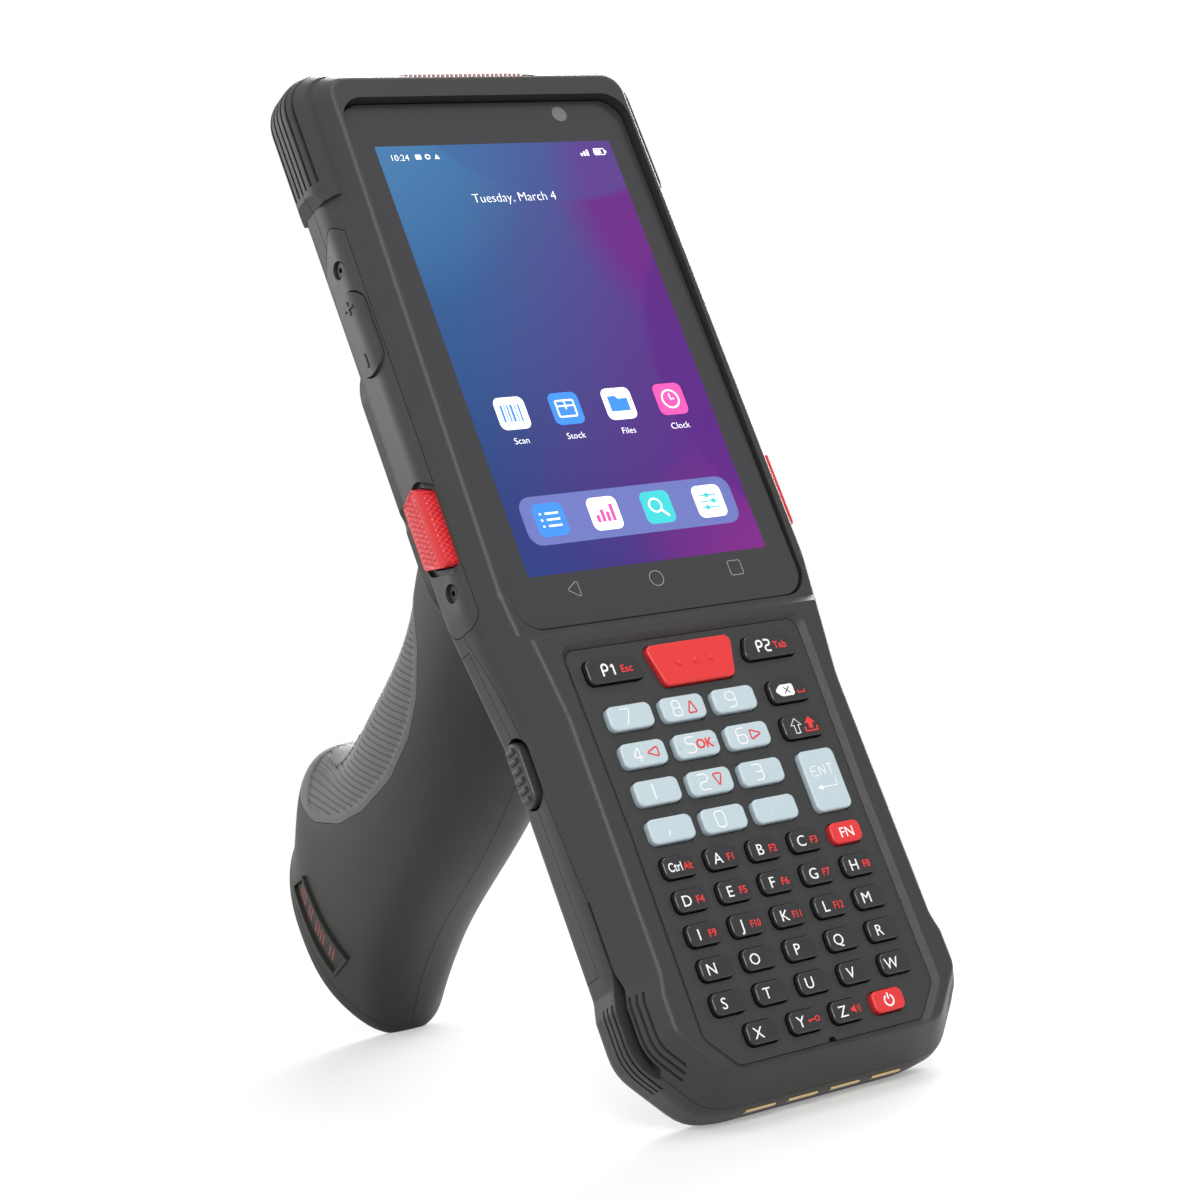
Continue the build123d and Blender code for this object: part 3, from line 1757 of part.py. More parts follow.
terminal_pieces()
grip_pieces()
for name, part in stand_up().items():
    part.label = name
    export_step(part, "parts/" + name + ".step")
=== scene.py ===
"""Finishes and fine surface pieces of a keypad data terminal on a pistol grip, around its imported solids."""

import logging
import math
from dataclasses import dataclass, replace
from enum import Enum
from typing import Callable, Optional, Sequence, Union

import bpy
from mathutils import Matrix, Vector


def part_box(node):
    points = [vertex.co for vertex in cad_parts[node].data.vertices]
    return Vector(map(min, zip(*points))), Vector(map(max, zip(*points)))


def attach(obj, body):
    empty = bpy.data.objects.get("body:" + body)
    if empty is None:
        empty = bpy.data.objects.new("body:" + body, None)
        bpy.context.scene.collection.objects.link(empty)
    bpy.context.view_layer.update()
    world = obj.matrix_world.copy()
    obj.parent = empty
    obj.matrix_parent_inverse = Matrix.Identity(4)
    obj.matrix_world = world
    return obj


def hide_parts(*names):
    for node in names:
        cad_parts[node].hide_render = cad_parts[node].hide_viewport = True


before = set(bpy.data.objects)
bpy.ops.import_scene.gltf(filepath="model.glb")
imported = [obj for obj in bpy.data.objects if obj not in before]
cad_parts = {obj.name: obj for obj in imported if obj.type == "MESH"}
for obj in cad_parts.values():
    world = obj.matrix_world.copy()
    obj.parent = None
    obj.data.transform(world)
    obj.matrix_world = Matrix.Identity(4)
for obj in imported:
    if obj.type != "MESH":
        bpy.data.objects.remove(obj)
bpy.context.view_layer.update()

LOG = logging.getLogger("terminal")
MM = 0.001
TERMINAL = "terminal"
EVEN = (1.0, 1.0, 1.0)
WHITE = (1.0, 1.0, 1.0)

Triple = tuple[float, float, float]
Flat = tuple[float, float]
Outline = Sequence[Flat]
Value = Union[float, "Wire"]


# ------------------------------------------------------------------ the terminal's own frame
@dataclass(frozen=True)
class Stance:
    """How the terminal stands: its own millimetres (X right, Y to the scan end, Z out of the screen).

    The lean is the angle between the screen and the plumb line. The trigger pin, which both the model
    and this file know, ties the two frames together.
    """

    lean: float = math.radians(23.4)
    pin_y: float = -11.0
    pin_z: float = -27.5

    def turn(self) -> Matrix:
        """Rotation from the terminal's axes to the standing ones."""
        side, rise = math.sin(self.lean), math.cos(self.lean)
        return Matrix(((1, 0, 0), (0, side, -rise), (0, rise, side)))

    def matrix(self) -> Matrix:
        """Terminal millimetres to standing metres.

        Returns:
            The transform.
        """
        low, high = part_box("trigger_pin")
        shift = (low + high) / 2 - self.turn() @ Vector((0, self.pin_y, self.pin_z)) * MM
        shift.x = 0
        return Matrix.Translation(shift) @ self.turn().to_4x4() @ Matrix.Scale(MM, 4)

    def points(self, node: str) -> list[Vector]:
        """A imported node's points along the terminal's own axes."""
        back = self.matrix().inverted()
        return [back @ vertex.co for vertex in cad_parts[node].data.vertices]

    def box(self, node: str) -> tuple[Vector, Vector]:
        """A node's lowest and highest corners along the terminal's own axes."""
        points = self.points(node)
        return tuple(Vector(pick(point[axis] for point in points) for axis in range(3))
                     for pick in (min, max))

    def centre(self, node: str) -> Vector:
        """Middle of a node's box along the terminal's own axes, at its highest level."""
        low, high = self.box(node)
        return Vector(((low.x + high.x) / 2, (low.y + high.y) / 2, high.z))


STANCE = Stance()


# ------------------------------------------------------------------------------ shader maths
def joins(operation: str, swapped: bool = False) -> Callable[["Wire", Value], "Wire"]:
    """Make one of a wire's arithmetic methods.

    Args:
        operation: name of the Math node's operation.
        swapped: whether the other value comes first.

    Returns:
        The method.
    """
    def method(wire: "Wire", other: Value) -> "Wire":
        """Join a wire and a value."""
        return wire.maths(operation, *((other, wire) if swapped else (wire, other)))

    return method


class Wire:
    """An output socket that takes part in plain arithmetic; a comparison is 1 where it holds."""

    __add__, __radd__ = joins("ADD"), joins("ADD", True)
    __sub__, __rsub__ = joins("SUBTRACT"), joins("SUBTRACT", True)
    __mul__, __rmul__ = joins("MULTIPLY"), joins("MULTIPLY", True)
    __truediv__ = joins("DIVIDE")
    __gt__, __lt__ = joins("GREATER_THAN"), joins("LESS_THAN")

    def __init__(self, paint: "Paint", socket: bpy.types.NodeSocket) -> None:
        """Wrap one socket of a material under construction."""
        self.paint = paint
        self.socket = socket

    def maths(self, operation: str, *values: Value) -> "Wire":
        """Apply one maths operation to values in order."""
        node = self.paint.node("ShaderNodeMath", {"operation": operation}, dict(enumerate(values)))
        return Wire(self.paint, node.outputs[0])

    def clamp(self) -> "Wire":
        """The value kept between 0 and 1."""
        return self.maths("MINIMUM", self.maths("MAXIMUM", self, 0.0), 1.0)

    def sine(self) -> "Wire":
        """Sine of the value in radians."""
        return self.maths("SINE", self)

    def absolute(self) -> "Wire":
        """The value without its sign."""
        return self.maths("ABSOLUTE", self)


class Paint:
    """One material's or world's node tree while it is being wired."""

    def __init__(self, name: str, kind: str = "materials") -> None:
        """Start an empty one.

        Args:
            name: its name.
            kind: the collection it belongs to, materials or worlds.
        """
        self.owner = getattr(bpy.data, kind).new(name)
        self.owner.use_nodes = True
        self.tree = self.owner.node_tree
        self.tree.nodes.clear()

    def node(self, kind: str, settings: Optional[dict] = None,
             inputs: Optional[dict] = None) -> bpy.types.Node:
        """Make any node.

        Args:
            kind: the node's type.
            settings: its options, set first.
            inputs: socket name or number to a value or a wire.

        Returns:
            The node.
        """
        node = self.tree.nodes.new(kind)
        for key, value in (settings or {}).items():
            setattr(node, key, value)
        for key, value in (inputs or {}).items():
            socket = node.inputs[key]
            if isinstance(value, Wire):
                self.tree.links.new(value.socket, socket)
            elif socket.type == "RGBA":
                socket.default_value = (*value, 1.0)
            else:
                socket.default_value = value
        return node

    def wire(self, kind: str, settings: Optional[dict] = None, inputs: Optional[dict] = None,
             output: Union[int, str] = 0) -> Wire:
        """Make any node and take one of its outputs."""
        return Wire(self, self.node(kind, settings, inputs).outputs[output])

    def place(self, scale: Triple = EVEN) -> Wire:
        """Position on the piece along the terminal's axes.

        Args:
            scale: what each axis' millimetres are multiplied by.

        Returns:
            The position.
        """
        back = STANCE.matrix().inverted()
        spot = self.wire("ShaderNodeMapping", {"vector_type": "POINT"}, {
            "Vector": self.wire("ShaderNodeTexCoord", output="Object"), "Location": tuple(back.translation),
            "Rotation": tuple(back.to_euler()), "Scale": (1.0 / MM,) * 3})
        if scale == EVEN:
            return spot
        return self.wire("ShaderNodeVectorMath", {"operation": "MULTIPLY"}, {0: spot, 1: scale})

    def parts(self, spot: Wire) -> tuple[Wire, Wire, Wire]:
        """A position's three components."""
        node = self.node("ShaderNodeSeparateXYZ", {}, {0: spot})
        return tuple(Wire(self, socket) for socket in node.outputs)

    def noise(self, pitch: float, detail: float = 2.0, stretch: Triple = EVEN) -> Wire:
        """Smooth noise from 0 to 1, in patches of a pitch in millimetres, with octaves of finer noise."""
        return self.wire("ShaderNodeTexNoise", {}, {
            "Vector": self.place(stretch), "Scale": 1.0 / pitch, "Detail": detail, "Roughness": 0.55})

    def cells(self, pitch: float) -> Wire:
        """Distance to the nearest of scattered points a pitch in millimetres apart."""
        return self.wire("ShaderNodeTexVoronoi", {"feature": "F1"}, {
            "Vector": self.place(), "Scale": 1.0 / pitch})

    def mix(self, mask: Value, under: Union[Triple, Wire], over: Union[Triple, Wire]) -> Wire:
        """Lay one colour over another where the mask is 1."""
        return self.wire("ShaderNodeMix", {"data_type": "RGBA"}, {0: mask, 6: under, 7: over}, output=2)

    def tone(self, colour: Triple, share: float, mask: Wire) -> Wire:
        """A colour that goes from darker to lighter with a mask.

        Args:
            colour: the colour halfway.
            share: how far it goes each way, as a share of itself.
            mask: from 0 for the darkest to 1 for the lightest.

        Returns:
            The colour.
        """
        dark = tuple(part * (1 - share) for part in colour)
        light = tuple(min(1.0, part * (1 + share)) for part in colour)
        return self.mix(mask, dark, light)

    def bump(self, height: Wire, depth: float) -> Wire:
        """Surface relief whose full height is a depth in millimetres."""
        return self.wire("ShaderNodeBump", {}, {"Height": height, "Distance": depth * MM, "Strength": 1.0})

    def rays(self, *kinds: str) -> Wire:
        """1 for a ray of one of these kinds, such as Camera."""
        path = self.node("ShaderNodeLightPath")
        first, *others = (Wire(self, path.outputs[f"Is {kind} Ray"]) for kind in kinds)
        return sum(others, first).clamp()

    def finish(self, inputs: dict) -> bpy.types.Material:
        """End the material in one principled surface."""
        surface = self.wire("ShaderNodeBsdfPrincipled", {}, inputs)
        self.node("ShaderNodeOutputMaterial", {}, {"Surface": surface})
        return self.owner


# ------------------------------------------------------------------------------------ finishes
@dataclass(frozen=True)
class Moulded:
    """Moulded plastic or rubber: a drifting colour, spark-eroded grain, a gloss that it breaks and light
    specks painted in as the grain's glints.

    Lengths are millimetres. Polish is the coat weight of an all but clear surface over the colour.
    """

    name: str
    colour: Triple
    roughness: float
    grain_pitch: float
    grain_depth: float
    drift: float
    specks: float = 0.0
    polish: float = 0.0
    sheen: float = 0.0
    specular: float = 0.5

    def material(self) -> bpy.types.Material:
        """The finish as a wired material."""
        paint = Paint(self.name)
        grain = paint.noise(self.grain_pitch, 3.0)
        cloud = paint.noise(18.0, 3.0)
        rub = paint.noise(2.6, 2.0)
        colour = paint.tone(self.colour, self.drift, cloud * 0.6 + grain * 0.4)
        # specks: light dots painted into the colour as glints of the grain's sheen
        if self.specks:
            painted_glint_specks = ((paint.cells(self.grain_pitch * 1.3) - 0.32) * -7.0).clamp() * self.specks
            colour = paint.mix(painted_glint_specks, colour, tuple(min(1.0, part * 2.2 + 0.02) for part in self.colour))
        return paint.finish({
            "Base Color": colour, "Roughness": self.roughness - 0.05 + rub * 0.07 + grain * 0.05,
            "Normal": paint.bump(grain, self.grain_depth), "Coat Weight": self.polish, "Coat Roughness": 0.12,
            "Sheen Weight": self.sheen, "Specular IOR Level": self.specular})


@dataclass(frozen=True)
class Ink:
    """Printed or laser-marked legend: an even colour with the slight mottle of a thin layer. Its glow is the
    screen's own light on the lit inks, and painted light on printed marks.
    """

    name: str
    colour: Triple
    glow: float = 0.0

    def material(self) -> bpy.types.Material:
        """The finish as a wired material."""
        paint = Paint(self.name)
        mottle = paint.noise(0.25, 2.0)
        colour = paint.tone(self.colour, 0.06, mottle)
        # emission: the screen's own light on lit inks, a painted glow on printed legends, touch signs and the
        # camera dot
        return paint.finish({
            "Base Color": colour, "Roughness": 0.4 + mottle * 0.12, "Emission Color": colour,
            "Emission Strength": self.glow})


@dataclass(frozen=True)
class Metal:
    """Plated or drawn metal: brushed along one axis, with a broken gloss."""

    name: str
    colour: Triple
    roughness: float
    scratch: float = 0.004

    def material(self) -> bpy.types.Material:
        """The finish as a wired material."""
        paint = Paint(self.name)
        brushed = paint.noise(0.12, 3.0, (1.0, 0.12, 0.12))
        return paint.finish({
            "Base Color": paint.tone(self.colour, 0.14, paint.noise(3.0, 2.0)), "Metallic": 1.0,
            "Roughness": self.roughness - 0.06 + brushed * 0.14, "Normal": paint.bump(brushed, self.scratch)})


@dataclass(frozen=True)
class CoverGlass:
    """The screen's cover glass: a black printed border under a polished face with faint wiping marks."""

    name: str
    colour: Triple

    def material(self) -> bpy.types.Material:
        """The finish as a wired material."""
        paint = Paint(self.name)
        wiped = paint.noise(9.0, 4.0, (1.0, 0.35, 1.0))
        dust = ((paint.cells(2.3) - 0.05) * -30.0).clamp()
        colour = paint.mix(dust * 0.25, paint.tone(self.colour, 0.15, wiped), (0.2, 0.2, 0.2))
        return paint.finish({
            "Base Color": colour, "Roughness": 0.07 + wiped * 0.07,
            "Coat Weight": 0.6, "Coat Roughness": 0.04})


@dataclass(frozen=True)
class ScreenPicture:
    """The lit wallpaper: a blue to violet drift with large soft discs that overlap, behind the glass.

    A disc is (x, y, radius, soft edge, colour, strength), in millimetres from the middle of the screen.
    """

    name: str
    upper: Triple = (0.035, 0.15, 0.36)
    lower: Triple = (0.010, 0.03, 0.19)
    right: Triple = (0.12, 0.008, 0.25)
    discs: tuple = (
        (-36.0, 52.0, 44.0, 40.0, (0.08, 0.26, 0.50), 0.75),
        (46.0, 30.0, 38.0, 9.0, (0.16, 0.008, 0.24), 0.85),
        (30.0, -52.0, 34.0, 30.0, (0.27, 0.015, 0.25), 0.85),
        (58.0, -8.0, 42.0, 1.2, (0.10, 0.008, 0.24), 0.7),
        (-30.0, -62.0, 40.0, 26.0, (0.012, 0.05, 0.26), 0.75),
        (14.0, 66.0, 36.0, 1.2, (0.04, 0.10, 0.34), 0.35),
    )
    half_width: float = 25.92
    half_height: float = 43.2

    def material(self) -> bpy.types.Material:
        """The finish as a wired material."""
        paint = Paint(self.name)
        spot = paint.place()
        across, up, _ = paint.parts(spot)
        rise = (up / (2 * self.half_height) + 0.5).clamp()
        slide = (across / (2 * self.half_width) - up / (5 * self.half_height) + 0.42).clamp()
        colour = paint.mix(slide, paint.mix(rise, self.lower, self.upper), self.right)
        for x, y, radius, edge, tint, strength in self.discs:
            away = paint.wire("ShaderNodeVectorMath", {"operation": "DISTANCE"},
                              {0: spot, 1: (x, y, 0.0)}, "Value")
            colour = paint.mix(((radius - away) / edge).clamp() * strength, colour, tint)
        return paint.finish({
            "Base Color": (0.004, 0.004, 0.005), "Roughness": 0.08, "Specular IOR Level": 0.25,
            "Emission Color": colour, "Emission Strength": 1.0})


@dataclass(frozen=True)
class TintedWindow:
    """A dark tinted window: deep colour under a polish, clear enough to read as glass."""

    name: str
    colour: Triple

    def material(self) -> bpy.types.Material:
        """The finish as a wired material."""
        paint = Paint(self.name)
        depth = paint.noise(6.0, 2.0)
        return paint.finish({
            "Base Color": paint.tone(self.colour, 0.3, depth), "Roughness": 0.05 + depth * 0.05,
            "Coat Weight": 1.0, "Coat Roughness": 0.03})


@dataclass(frozen=True)
class CircuitBoard:
    """Solder mask over copper tracks, with bare pads."""

    name: str
    mask: Triple = (0.02, 0.11, 0.055)
    over_track: Triple = (0.03, 0.2, 0.09)
    pad: Triple = (0.62, 0.48, 0.22)

    def material(self) -> bpy.types.Material:
        """The finish as a wired material."""
        paint = Paint(self.name)
        across, _, _ = paint.parts(paint.place())
        step = paint.noise(5.0, 1.0)
        tracks = ((across + step * 3.0) * 5.0).sine().absolute() > 0.8
        pads = paint.cells(1.7) < 0.16
        colour = paint.mix(tracks * 0.5, paint.tone(self.mask, 0.2, step), self.over_track)
        return paint.finish({
            "Base Color": paint.mix(pads, colour, self.pad), "Metallic": pads * 0.8,
            "Roughness": 0.36 - pads * 0.1, "Normal": paint.bump(tracks, 0.02)})


class Finish(Enum):
    """Every finish of the terminal, by the material slot or by the piece it is for."""

    # the specks on the housing, panel and plate are painted glints
    HOUSING = Moulded("housing_charcoal", (0.025, 0.025, 0.024), 0.46, 0.32, 0.045, 0.18, 0.22)
    PANEL = Moulded("panel_satin", (0.034, 0.034, 0.033), 0.40, 0.22, 0.012, 0.10, 0.1)
    PLATE = Moulded("keypad_plate_grain", (0.026, 0.026, 0.027), 0.50, 0.22, 0.025, 0.10, 0.4)
    KEY_PALE = Moulded("key_pale_satin", (0.52, 0.63, 0.67), 0.34, 0.5, 0.004, 0.03)
    KEY_BLACK = Moulded("key_black_gloss", (0.010, 0.010, 0.012), 0.26, 0.5, 0.003, 0.10, polish=0.35)
    KEY_RED = Moulded("key_red_satin", (0.74, 0.030, 0.032), 0.36, 0.5, 0.004, 0.05, polish=0.1)
    BUTTON_RED = Moulded("button_red_knurl", (0.66, 0.022, 0.028), 0.36, 0.4, 0.004, 0.06, polish=0.1)
    GRIP = Moulded("grip_smooth", (0.017, 0.017, 0.014), 0.46, 0.35, 0.006, 0.10, specular=0.4)
    INSERT = Moulded("insert_rubber", (0.060, 0.062, 0.062), 0.55, 0.3, 0.008, 0.10, sheen=0.20)
    MAT = Moulded("keypad_mat_rubber", (0.03, 0.03, 0.03), 0.7, 0.4, 0.01, 0.1)
    INNER = Moulded("inner_moulding", (0.03, 0.03, 0.03), 0.55, 0.4, 0.01, 0.1)
    LENS = TintedWindow("camera_lens", (0.010, 0.012, 0.020))
    WINDOW = TintedWindow("scan_window_red", (0.060, 0.004, 0.006))
    REFLECTOR = TintedWindow("reflector_red", (0.17, 0.010, 0.012))
    # pale pink: the reflector's red, painted lighter as the highlight of its facets
    RIDGES = Moulded("reflector_ridges", (0.80, 0.36, 0.33), 0.22, 0.3, 0.003, 0.2, polish=0.6)
    GLASS = CoverGlass("cover_glass", (0.010, 0.010, 0.010))
    PICTURE = ScreenPicture("screen_picture")
    PANEL_BACK = TintedWindow("display_back", (0.02, 0.02, 0.03))
    BOARD = CircuitBoard("circuit_board")
    GOLD = Metal("contact_gold", (0.42, 0.33, 0.17), 0.34)
    BLACKENED = Metal("screw_blackened", (0.035, 0.035, 0.035), 0.38, 0.006)
    STEEL = Metal("spring_steel", (0.55, 0.55, 0.56), 0.28)
    # printed key legends: their glow is painted light
    WHITE_INK = Ink("white_legend", (0.86, 0.86, 0.86), 0.10)
    RED_INK = Ink("red_legend", (0.78, 0.035, 0.035), 0.05)
    DARK_INK = Ink("dark_legend", (0.012, 0.012, 0.012))
    BADGE_INK = Ink("badge_ink", (0.22, 0.050, 0.045))
    LIT_WHITE = Ink("lit_white", (0.90, 0.91, 0.93), 0.75)
    LIT_BLUE = Ink("lit_blue", (0.03, 0.17, 0.62), 0.85)
    LIT_ROSE = Ink("lit_rose", (0.62, 0.06, 0.28), 0.8)
    LIT_TEAL = Ink("lit_teal", (0.03, 0.40, 0.42), 0.8)
    LIT_SHADE = Ink("lit_shade", (0.10, 0.12, 0.34), 0.55)
    # touch signs and camera dot: their glow is painted light
    NAVIGATION = Ink("navigation_grey", (0.30, 0.30, 0.31), 0.12)
    CAMERA_DOT = Ink("camera_dot_grey", (0.16, 0.16, 0.17), 0.03)

    def material(self) -> bpy.types.Material:
        """The finish's material, wired once."""
        return bpy.data.materials.get(self.value.name) or self.value.material()

    def shade(self) -> str:
        """The colour's name in an ink's name, such as white."""
        return next(word for word in self.name.lower().split("_") if word not in ("lit", "ink"))


class Slot(Enum):
    """Material slots of the record, passed along with each new piece."""

    GLASS = "cover_glass"
    DISPLAY = "display_panel"
    KEY_PALE = "key_pale"
    KEY_BLACK = "key_black"
    KEY_RED = "key_red"
    BUTTON = "button_red"
    WEAVE = "speaker_weave"
    GRIP = "grip_plastic"
    RUBBER = "grip_rubber"


# ------------------------------------------------------------------------------- the workbench
class Bench:
    """Modelling by operators, always on selected objects, in terminal millimetres."""

    @staticmethod
    def clear() -> None:
        """Deselect every object."""
        bpy.ops.object.select_all(action="DESELECT")

    @staticmethod
    def take(*pieces: bpy.types.Object) -> None:
        """Select only these pieces, with the first one active."""
        Bench.clear()
        for piece in pieces:
            piece.select_set(True)
        bpy.context.view_layer.objects.active = pieces[0]

    @staticmethod
    def shaped(piece: bpy.types.Object, *moves: Matrix) -> bpy.types.Object:
        """Make a text or a curve a mesh, and move its points.

        Args:
            piece: the text, curve or mesh.
            moves: transforms in the order they are applied.

        Returns:
            The mesh piece.
        """
        Bench.take(piece)
        bpy.ops.object.convert(target="MESH")
        piece = bpy.context.object
        for move in moves:
            piece.data.transform(move)
        return piece

    @staticmethod
    def join(name: str, pieces: Sequence[bpy.types.Object]) -> bpy.types.Object:
        """Join pieces into one.

        Args:
            name: the new piece's name.
            pieces: what is joined; one alone is only renamed.

        Returns:
            The piece.
        """
        Bench.take(*pieces)
        if len(pieces) > 1:
            bpy.ops.object.join()
        piece = bpy.context.object
        piece.name = name
        return piece

    @staticmethod
    def edit(piece: bpy.types.Object, *steps: Callable[[], object]) -> None:
        """Run edit-mode steps on a mesh.

        Args:
            piece: the mesh piece.
            steps: calls to run in edit mode, each starting with everything selected.
        """
        Bench.take(piece)
        bpy.ops.object.mode_set(mode="EDIT")
        for step in steps:
            bpy.ops.mesh.select_all(action="SELECT")
            step()
        bpy.ops.object.mode_set(mode="OBJECT")

    @staticmethod
    def copy_of(node: str, name: str) -> bpy.types.Object:
        """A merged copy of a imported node, along the terminal's axes, ready to be worked on.

        Args:
            node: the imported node.
            name: the copy's name.

        Returns:
            The copy.
        """
        Bench.take(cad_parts[node])
        bpy.ops.object.duplicate()
        piece = bpy.context.object
        piece.name = name
        for key in [key for key in piece.keys() if key.startswith("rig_")]:
            del piece[key]
        piece.parent = None
        piece.matrix_world = Matrix.Identity(4)
        piece.data.transform(STANCE.matrix().inverted())
        Bench.edit(piece, lambda: bpy.ops.mesh.remove_doubles(threshold=0.0005),
                   lambda: bpy.ops.mesh.tris_convert_to_quads())
        if piece.data.has_custom_normals:
            bpy.ops.mesh.customdata_custom_splitnormals_clear()
        return piece

    @staticmethod
    def press(piece: bpy.types.Object, depth: Callable[[bpy.types.MeshVertex], float], angle: float) -> None:
        """Push a mesh's points in along their normals, and smooth its gentle edges.

        Args:
            piece: the mesh piece.
            depth: gives how far a point goes in; 0 leaves it.
            angle: edges up to this many degrees are smooth.
        """
        moves = [vertex.normal * -depth(vertex) for vertex in piece.data.vertices]
        for vertex, move in zip(piece.data.vertices, moves):
            vertex.co += move
        Bench.take(piece)
        bpy.ops.object.shade_smooth_by_angle(angle=math.radians(angle))

    @staticmethod
    def hand_over(name: str, pieces: Sequence[bpy.types.Object], finish: Finish, body: str,
                  slot: Slot) -> bpy.types.Object:
        """Join meshes, stand them up with the terminal and give them finish and body.

        Args:
            name: the piece's name.
            pieces: meshes in terminal millimetres.
            finish: their finish.
            body: the body that they ride on.
            slot: the record's material slot; not used.

        Returns:
            The piece.
        """
        piece = Bench.join(name, pieces)
        piece.data.transform(STANCE.matrix())
        piece.data.materials.clear()
        piece.data.materials.append(finish.material())
        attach(piece, body)
        LOG.info("%s: %d faces on %s", name, len(piece.data.polygons), body)
        return piece


def rounded(points: Outline, cut: float, closed: bool) -> list[Flat]:
    """Round a line's corners by a short cut, twice over.

    Args:
        points: the line's corners.
        cut: how far from each corner the first cut starts, in millimetres.
        closed: whether the last point joins the first.

    Returns:
        The rounded line's points.
    """
    second_share, longest_share, tiny = 0.4, 0.45, 1e-6
    line = [Vector(point) for point in points]
    for reach in (cut, cut * second_share):
        result = []
        count = len(line)
        for index, corner in enumerate(line):
            if not closed and index in (0, count - 1):
                result.append(corner)
                continue
            for other in (line[index - 1], line[(index + 1) % count]):
                away = other - corner
                result.append(corner + away * min(longest_share, reach / max(away.length, tiny)))
        line = result
    return [(point.x, point.y) for point in line]


def ring(x: float, y: float, radius: float, start: float = 0.0, sweep: float = 360.0,
         steps: int = 24) -> list[Flat]:
    """Points along a circle or an arc.

    Args:
        x: its middle across.
        y: its middle up.
        radius: its radius.
        start: angle of the first point in degrees.
        sweep: angle that it covers; a full turn leaves out the last point.
        steps: how many runs it has.

    Returns:
        The points.
    """
    count = steps if sweep >= 360.0 else steps + 1
    angles = [math.radians(start + sweep * step / steps) for step in range(count)]
    return [(x + radius * math.cos(angle), y + radius * math.sin(angle)) for angle in angles]


def tile(x: float, y: float, width: float, height: float, radius: float) -> list[Flat]:
    """A rounded rectangle's points, about its middle."""
    corners = ((1, 1, 0), (-1, 1, 90), (-1, -1, 180), (1, -1, 270))
    return [point for across, up, start in corners for point in
            ring(x + across * (width / 2 - radius), y + up * (height / 2 - radius), radius, start, 90, 5)]


@dataclass(frozen=True)
class Printer:
    """Lays thin raised marks on a level face: filled shapes, lines of a pen and words."""

    level: float
    thickness: float

    def raised(self) -> Matrix:
        """The move from the ground to the printer's level."""
        return Matrix.Translation((0, 0, self.level))

    @staticmethod
    def curve(lines: Sequence[Outline], loops: Sequence[bool], settings: dict) -> bpy.types.Object:
        """A curve of straight runs.

        Args:
            lines: each line's points.
            loops: whether each line is a loop.
            settings: the curve's options, in the order they are set.

        Returns:
            The curve.
        """
        bpy.ops.object.add(type="CURVE")
        piece = bpy.context.object
        for key, value in settings.items():
            setattr(piece.data, key, value)
        for line, loop in zip(lines, loops):
            spline = piece.data.splines.new("POLY")
            spline.points.add(len(line) - 1)
            for point, (x, y) in zip(spline.points, line):
                point.co = (x, y, 0, 1)
            spline.use_cyclic_u = loop
        return piece

    def shape(self, *outlines: Outline) -> bpy.types.Object:
        """A filled flat shape; an outline inside another is a hole."""
        settings = {"dimensions": "2D", "fill_mode": "BOTH", "extrude": self.thickness}
        return Bench.shaped(self.curve(outlines, [True] * len(outlines), settings), self.raised())

    def pen(self, lines: Sequence[Outline], width: float, cut: float = 0.0,
            closed: bool = False) -> bpy.types.Object:
        """Lines of one width with rounded corners.

        Args:
            lines: each line's points; one whose ends meet is a loop.
            width: the pen's width.
            cut: how far the corners are rounded.
            closed: whether every line is a loop.

        Returns:
            The mark.
        """
        paths, loops = [], []
        for line in lines:
            meets = line[0] == line[-1]
            corners = list(line[:-1] if meets else line)
            loops.append(closed or meets)
            paths.append(rounded(corners, cut, loops[-1]) if cut else corners)
        settings = {"dimensions": "3D", "bevel_depth": width / 2, "bevel_resolution": 1,
                    "use_fill_caps": True}
        flat = Matrix.Diagonal((1, 1, self.thickness / (width / 2), 1))
        return Bench.shaped(self.curve(paths, loops, settings), flat, self.raised())


@dataclass(frozen=True)
class Sign:
    """A mark in millimetres about a point: filled outlines or, with a pen's width, lines.

    A cut rounds the lines' corners. A line is a loop where its ends meet or the sign is closed.
    """

    lines: Sequence[Outline]
    pen: float = 0.0
    cut: float = 0.0
    closed: bool = False

    def draw(self, printer: Printer, x: float, y: float) -> bpy.types.Object:
        """Print the sign about a point."""
        moved = [[(x + across, y + up) for across, up in line] for line in self.lines]
        return printer.pen(moved, self.pen, self.cut, self.closed) if self.pen else printer.shape(*moved)


@dataclass(frozen=True)
class Word:
    """A word by the height of its capitals, centred on a place near a point.

    The weight is how far its outline grows, as a share of the height, and the squeeze is its width as
    a share of the font's own.
    """

    text: str
    height: float
    weight: float = 0.0
    squeeze: float = 1.0
    x: float = 0.0
    y: float = 0.0
    capitals: float = 0.73

    def draw(self, printer: Printer, x: float, y: float) -> bpy.types.Object:
        """Print the word near a point.

        Args:
            printer: what prints it.
            x: the point across.
            y: the point up.

        Returns:
            The mark.
        """
        bpy.ops.object.text_add()
        piece = bpy.context.object
        piece.data.body = self.text
        piece.data.size = self.height / self.capitals
        piece.data.offset = self.weight * self.height
        piece.data.extrude = printer.thickness
        piece.data.resolution_u = 3
        piece.data.align_x = "CENTER"
        spot = Matrix.Translation((x + self.x, y + self.y - self.height / 2, 0))
        return Bench.shaped(piece, Matrix.Diagonal((self.squeeze, 1, 1, 1)), spot, printer.raised())


Marks = Sequence[Union[Sign, Word]]


def strokes(*cells: tuple["PenLetter", float, float, float, float]) -> list[Outline]:
    """The lines of squared letters, each with its middle, width and height."""
    return [[(x + (across - 0.5) * width, y + (up - 0.5) * height) for across, up in line]
            for letter, x, y, width, height in cells for line in letter.value]


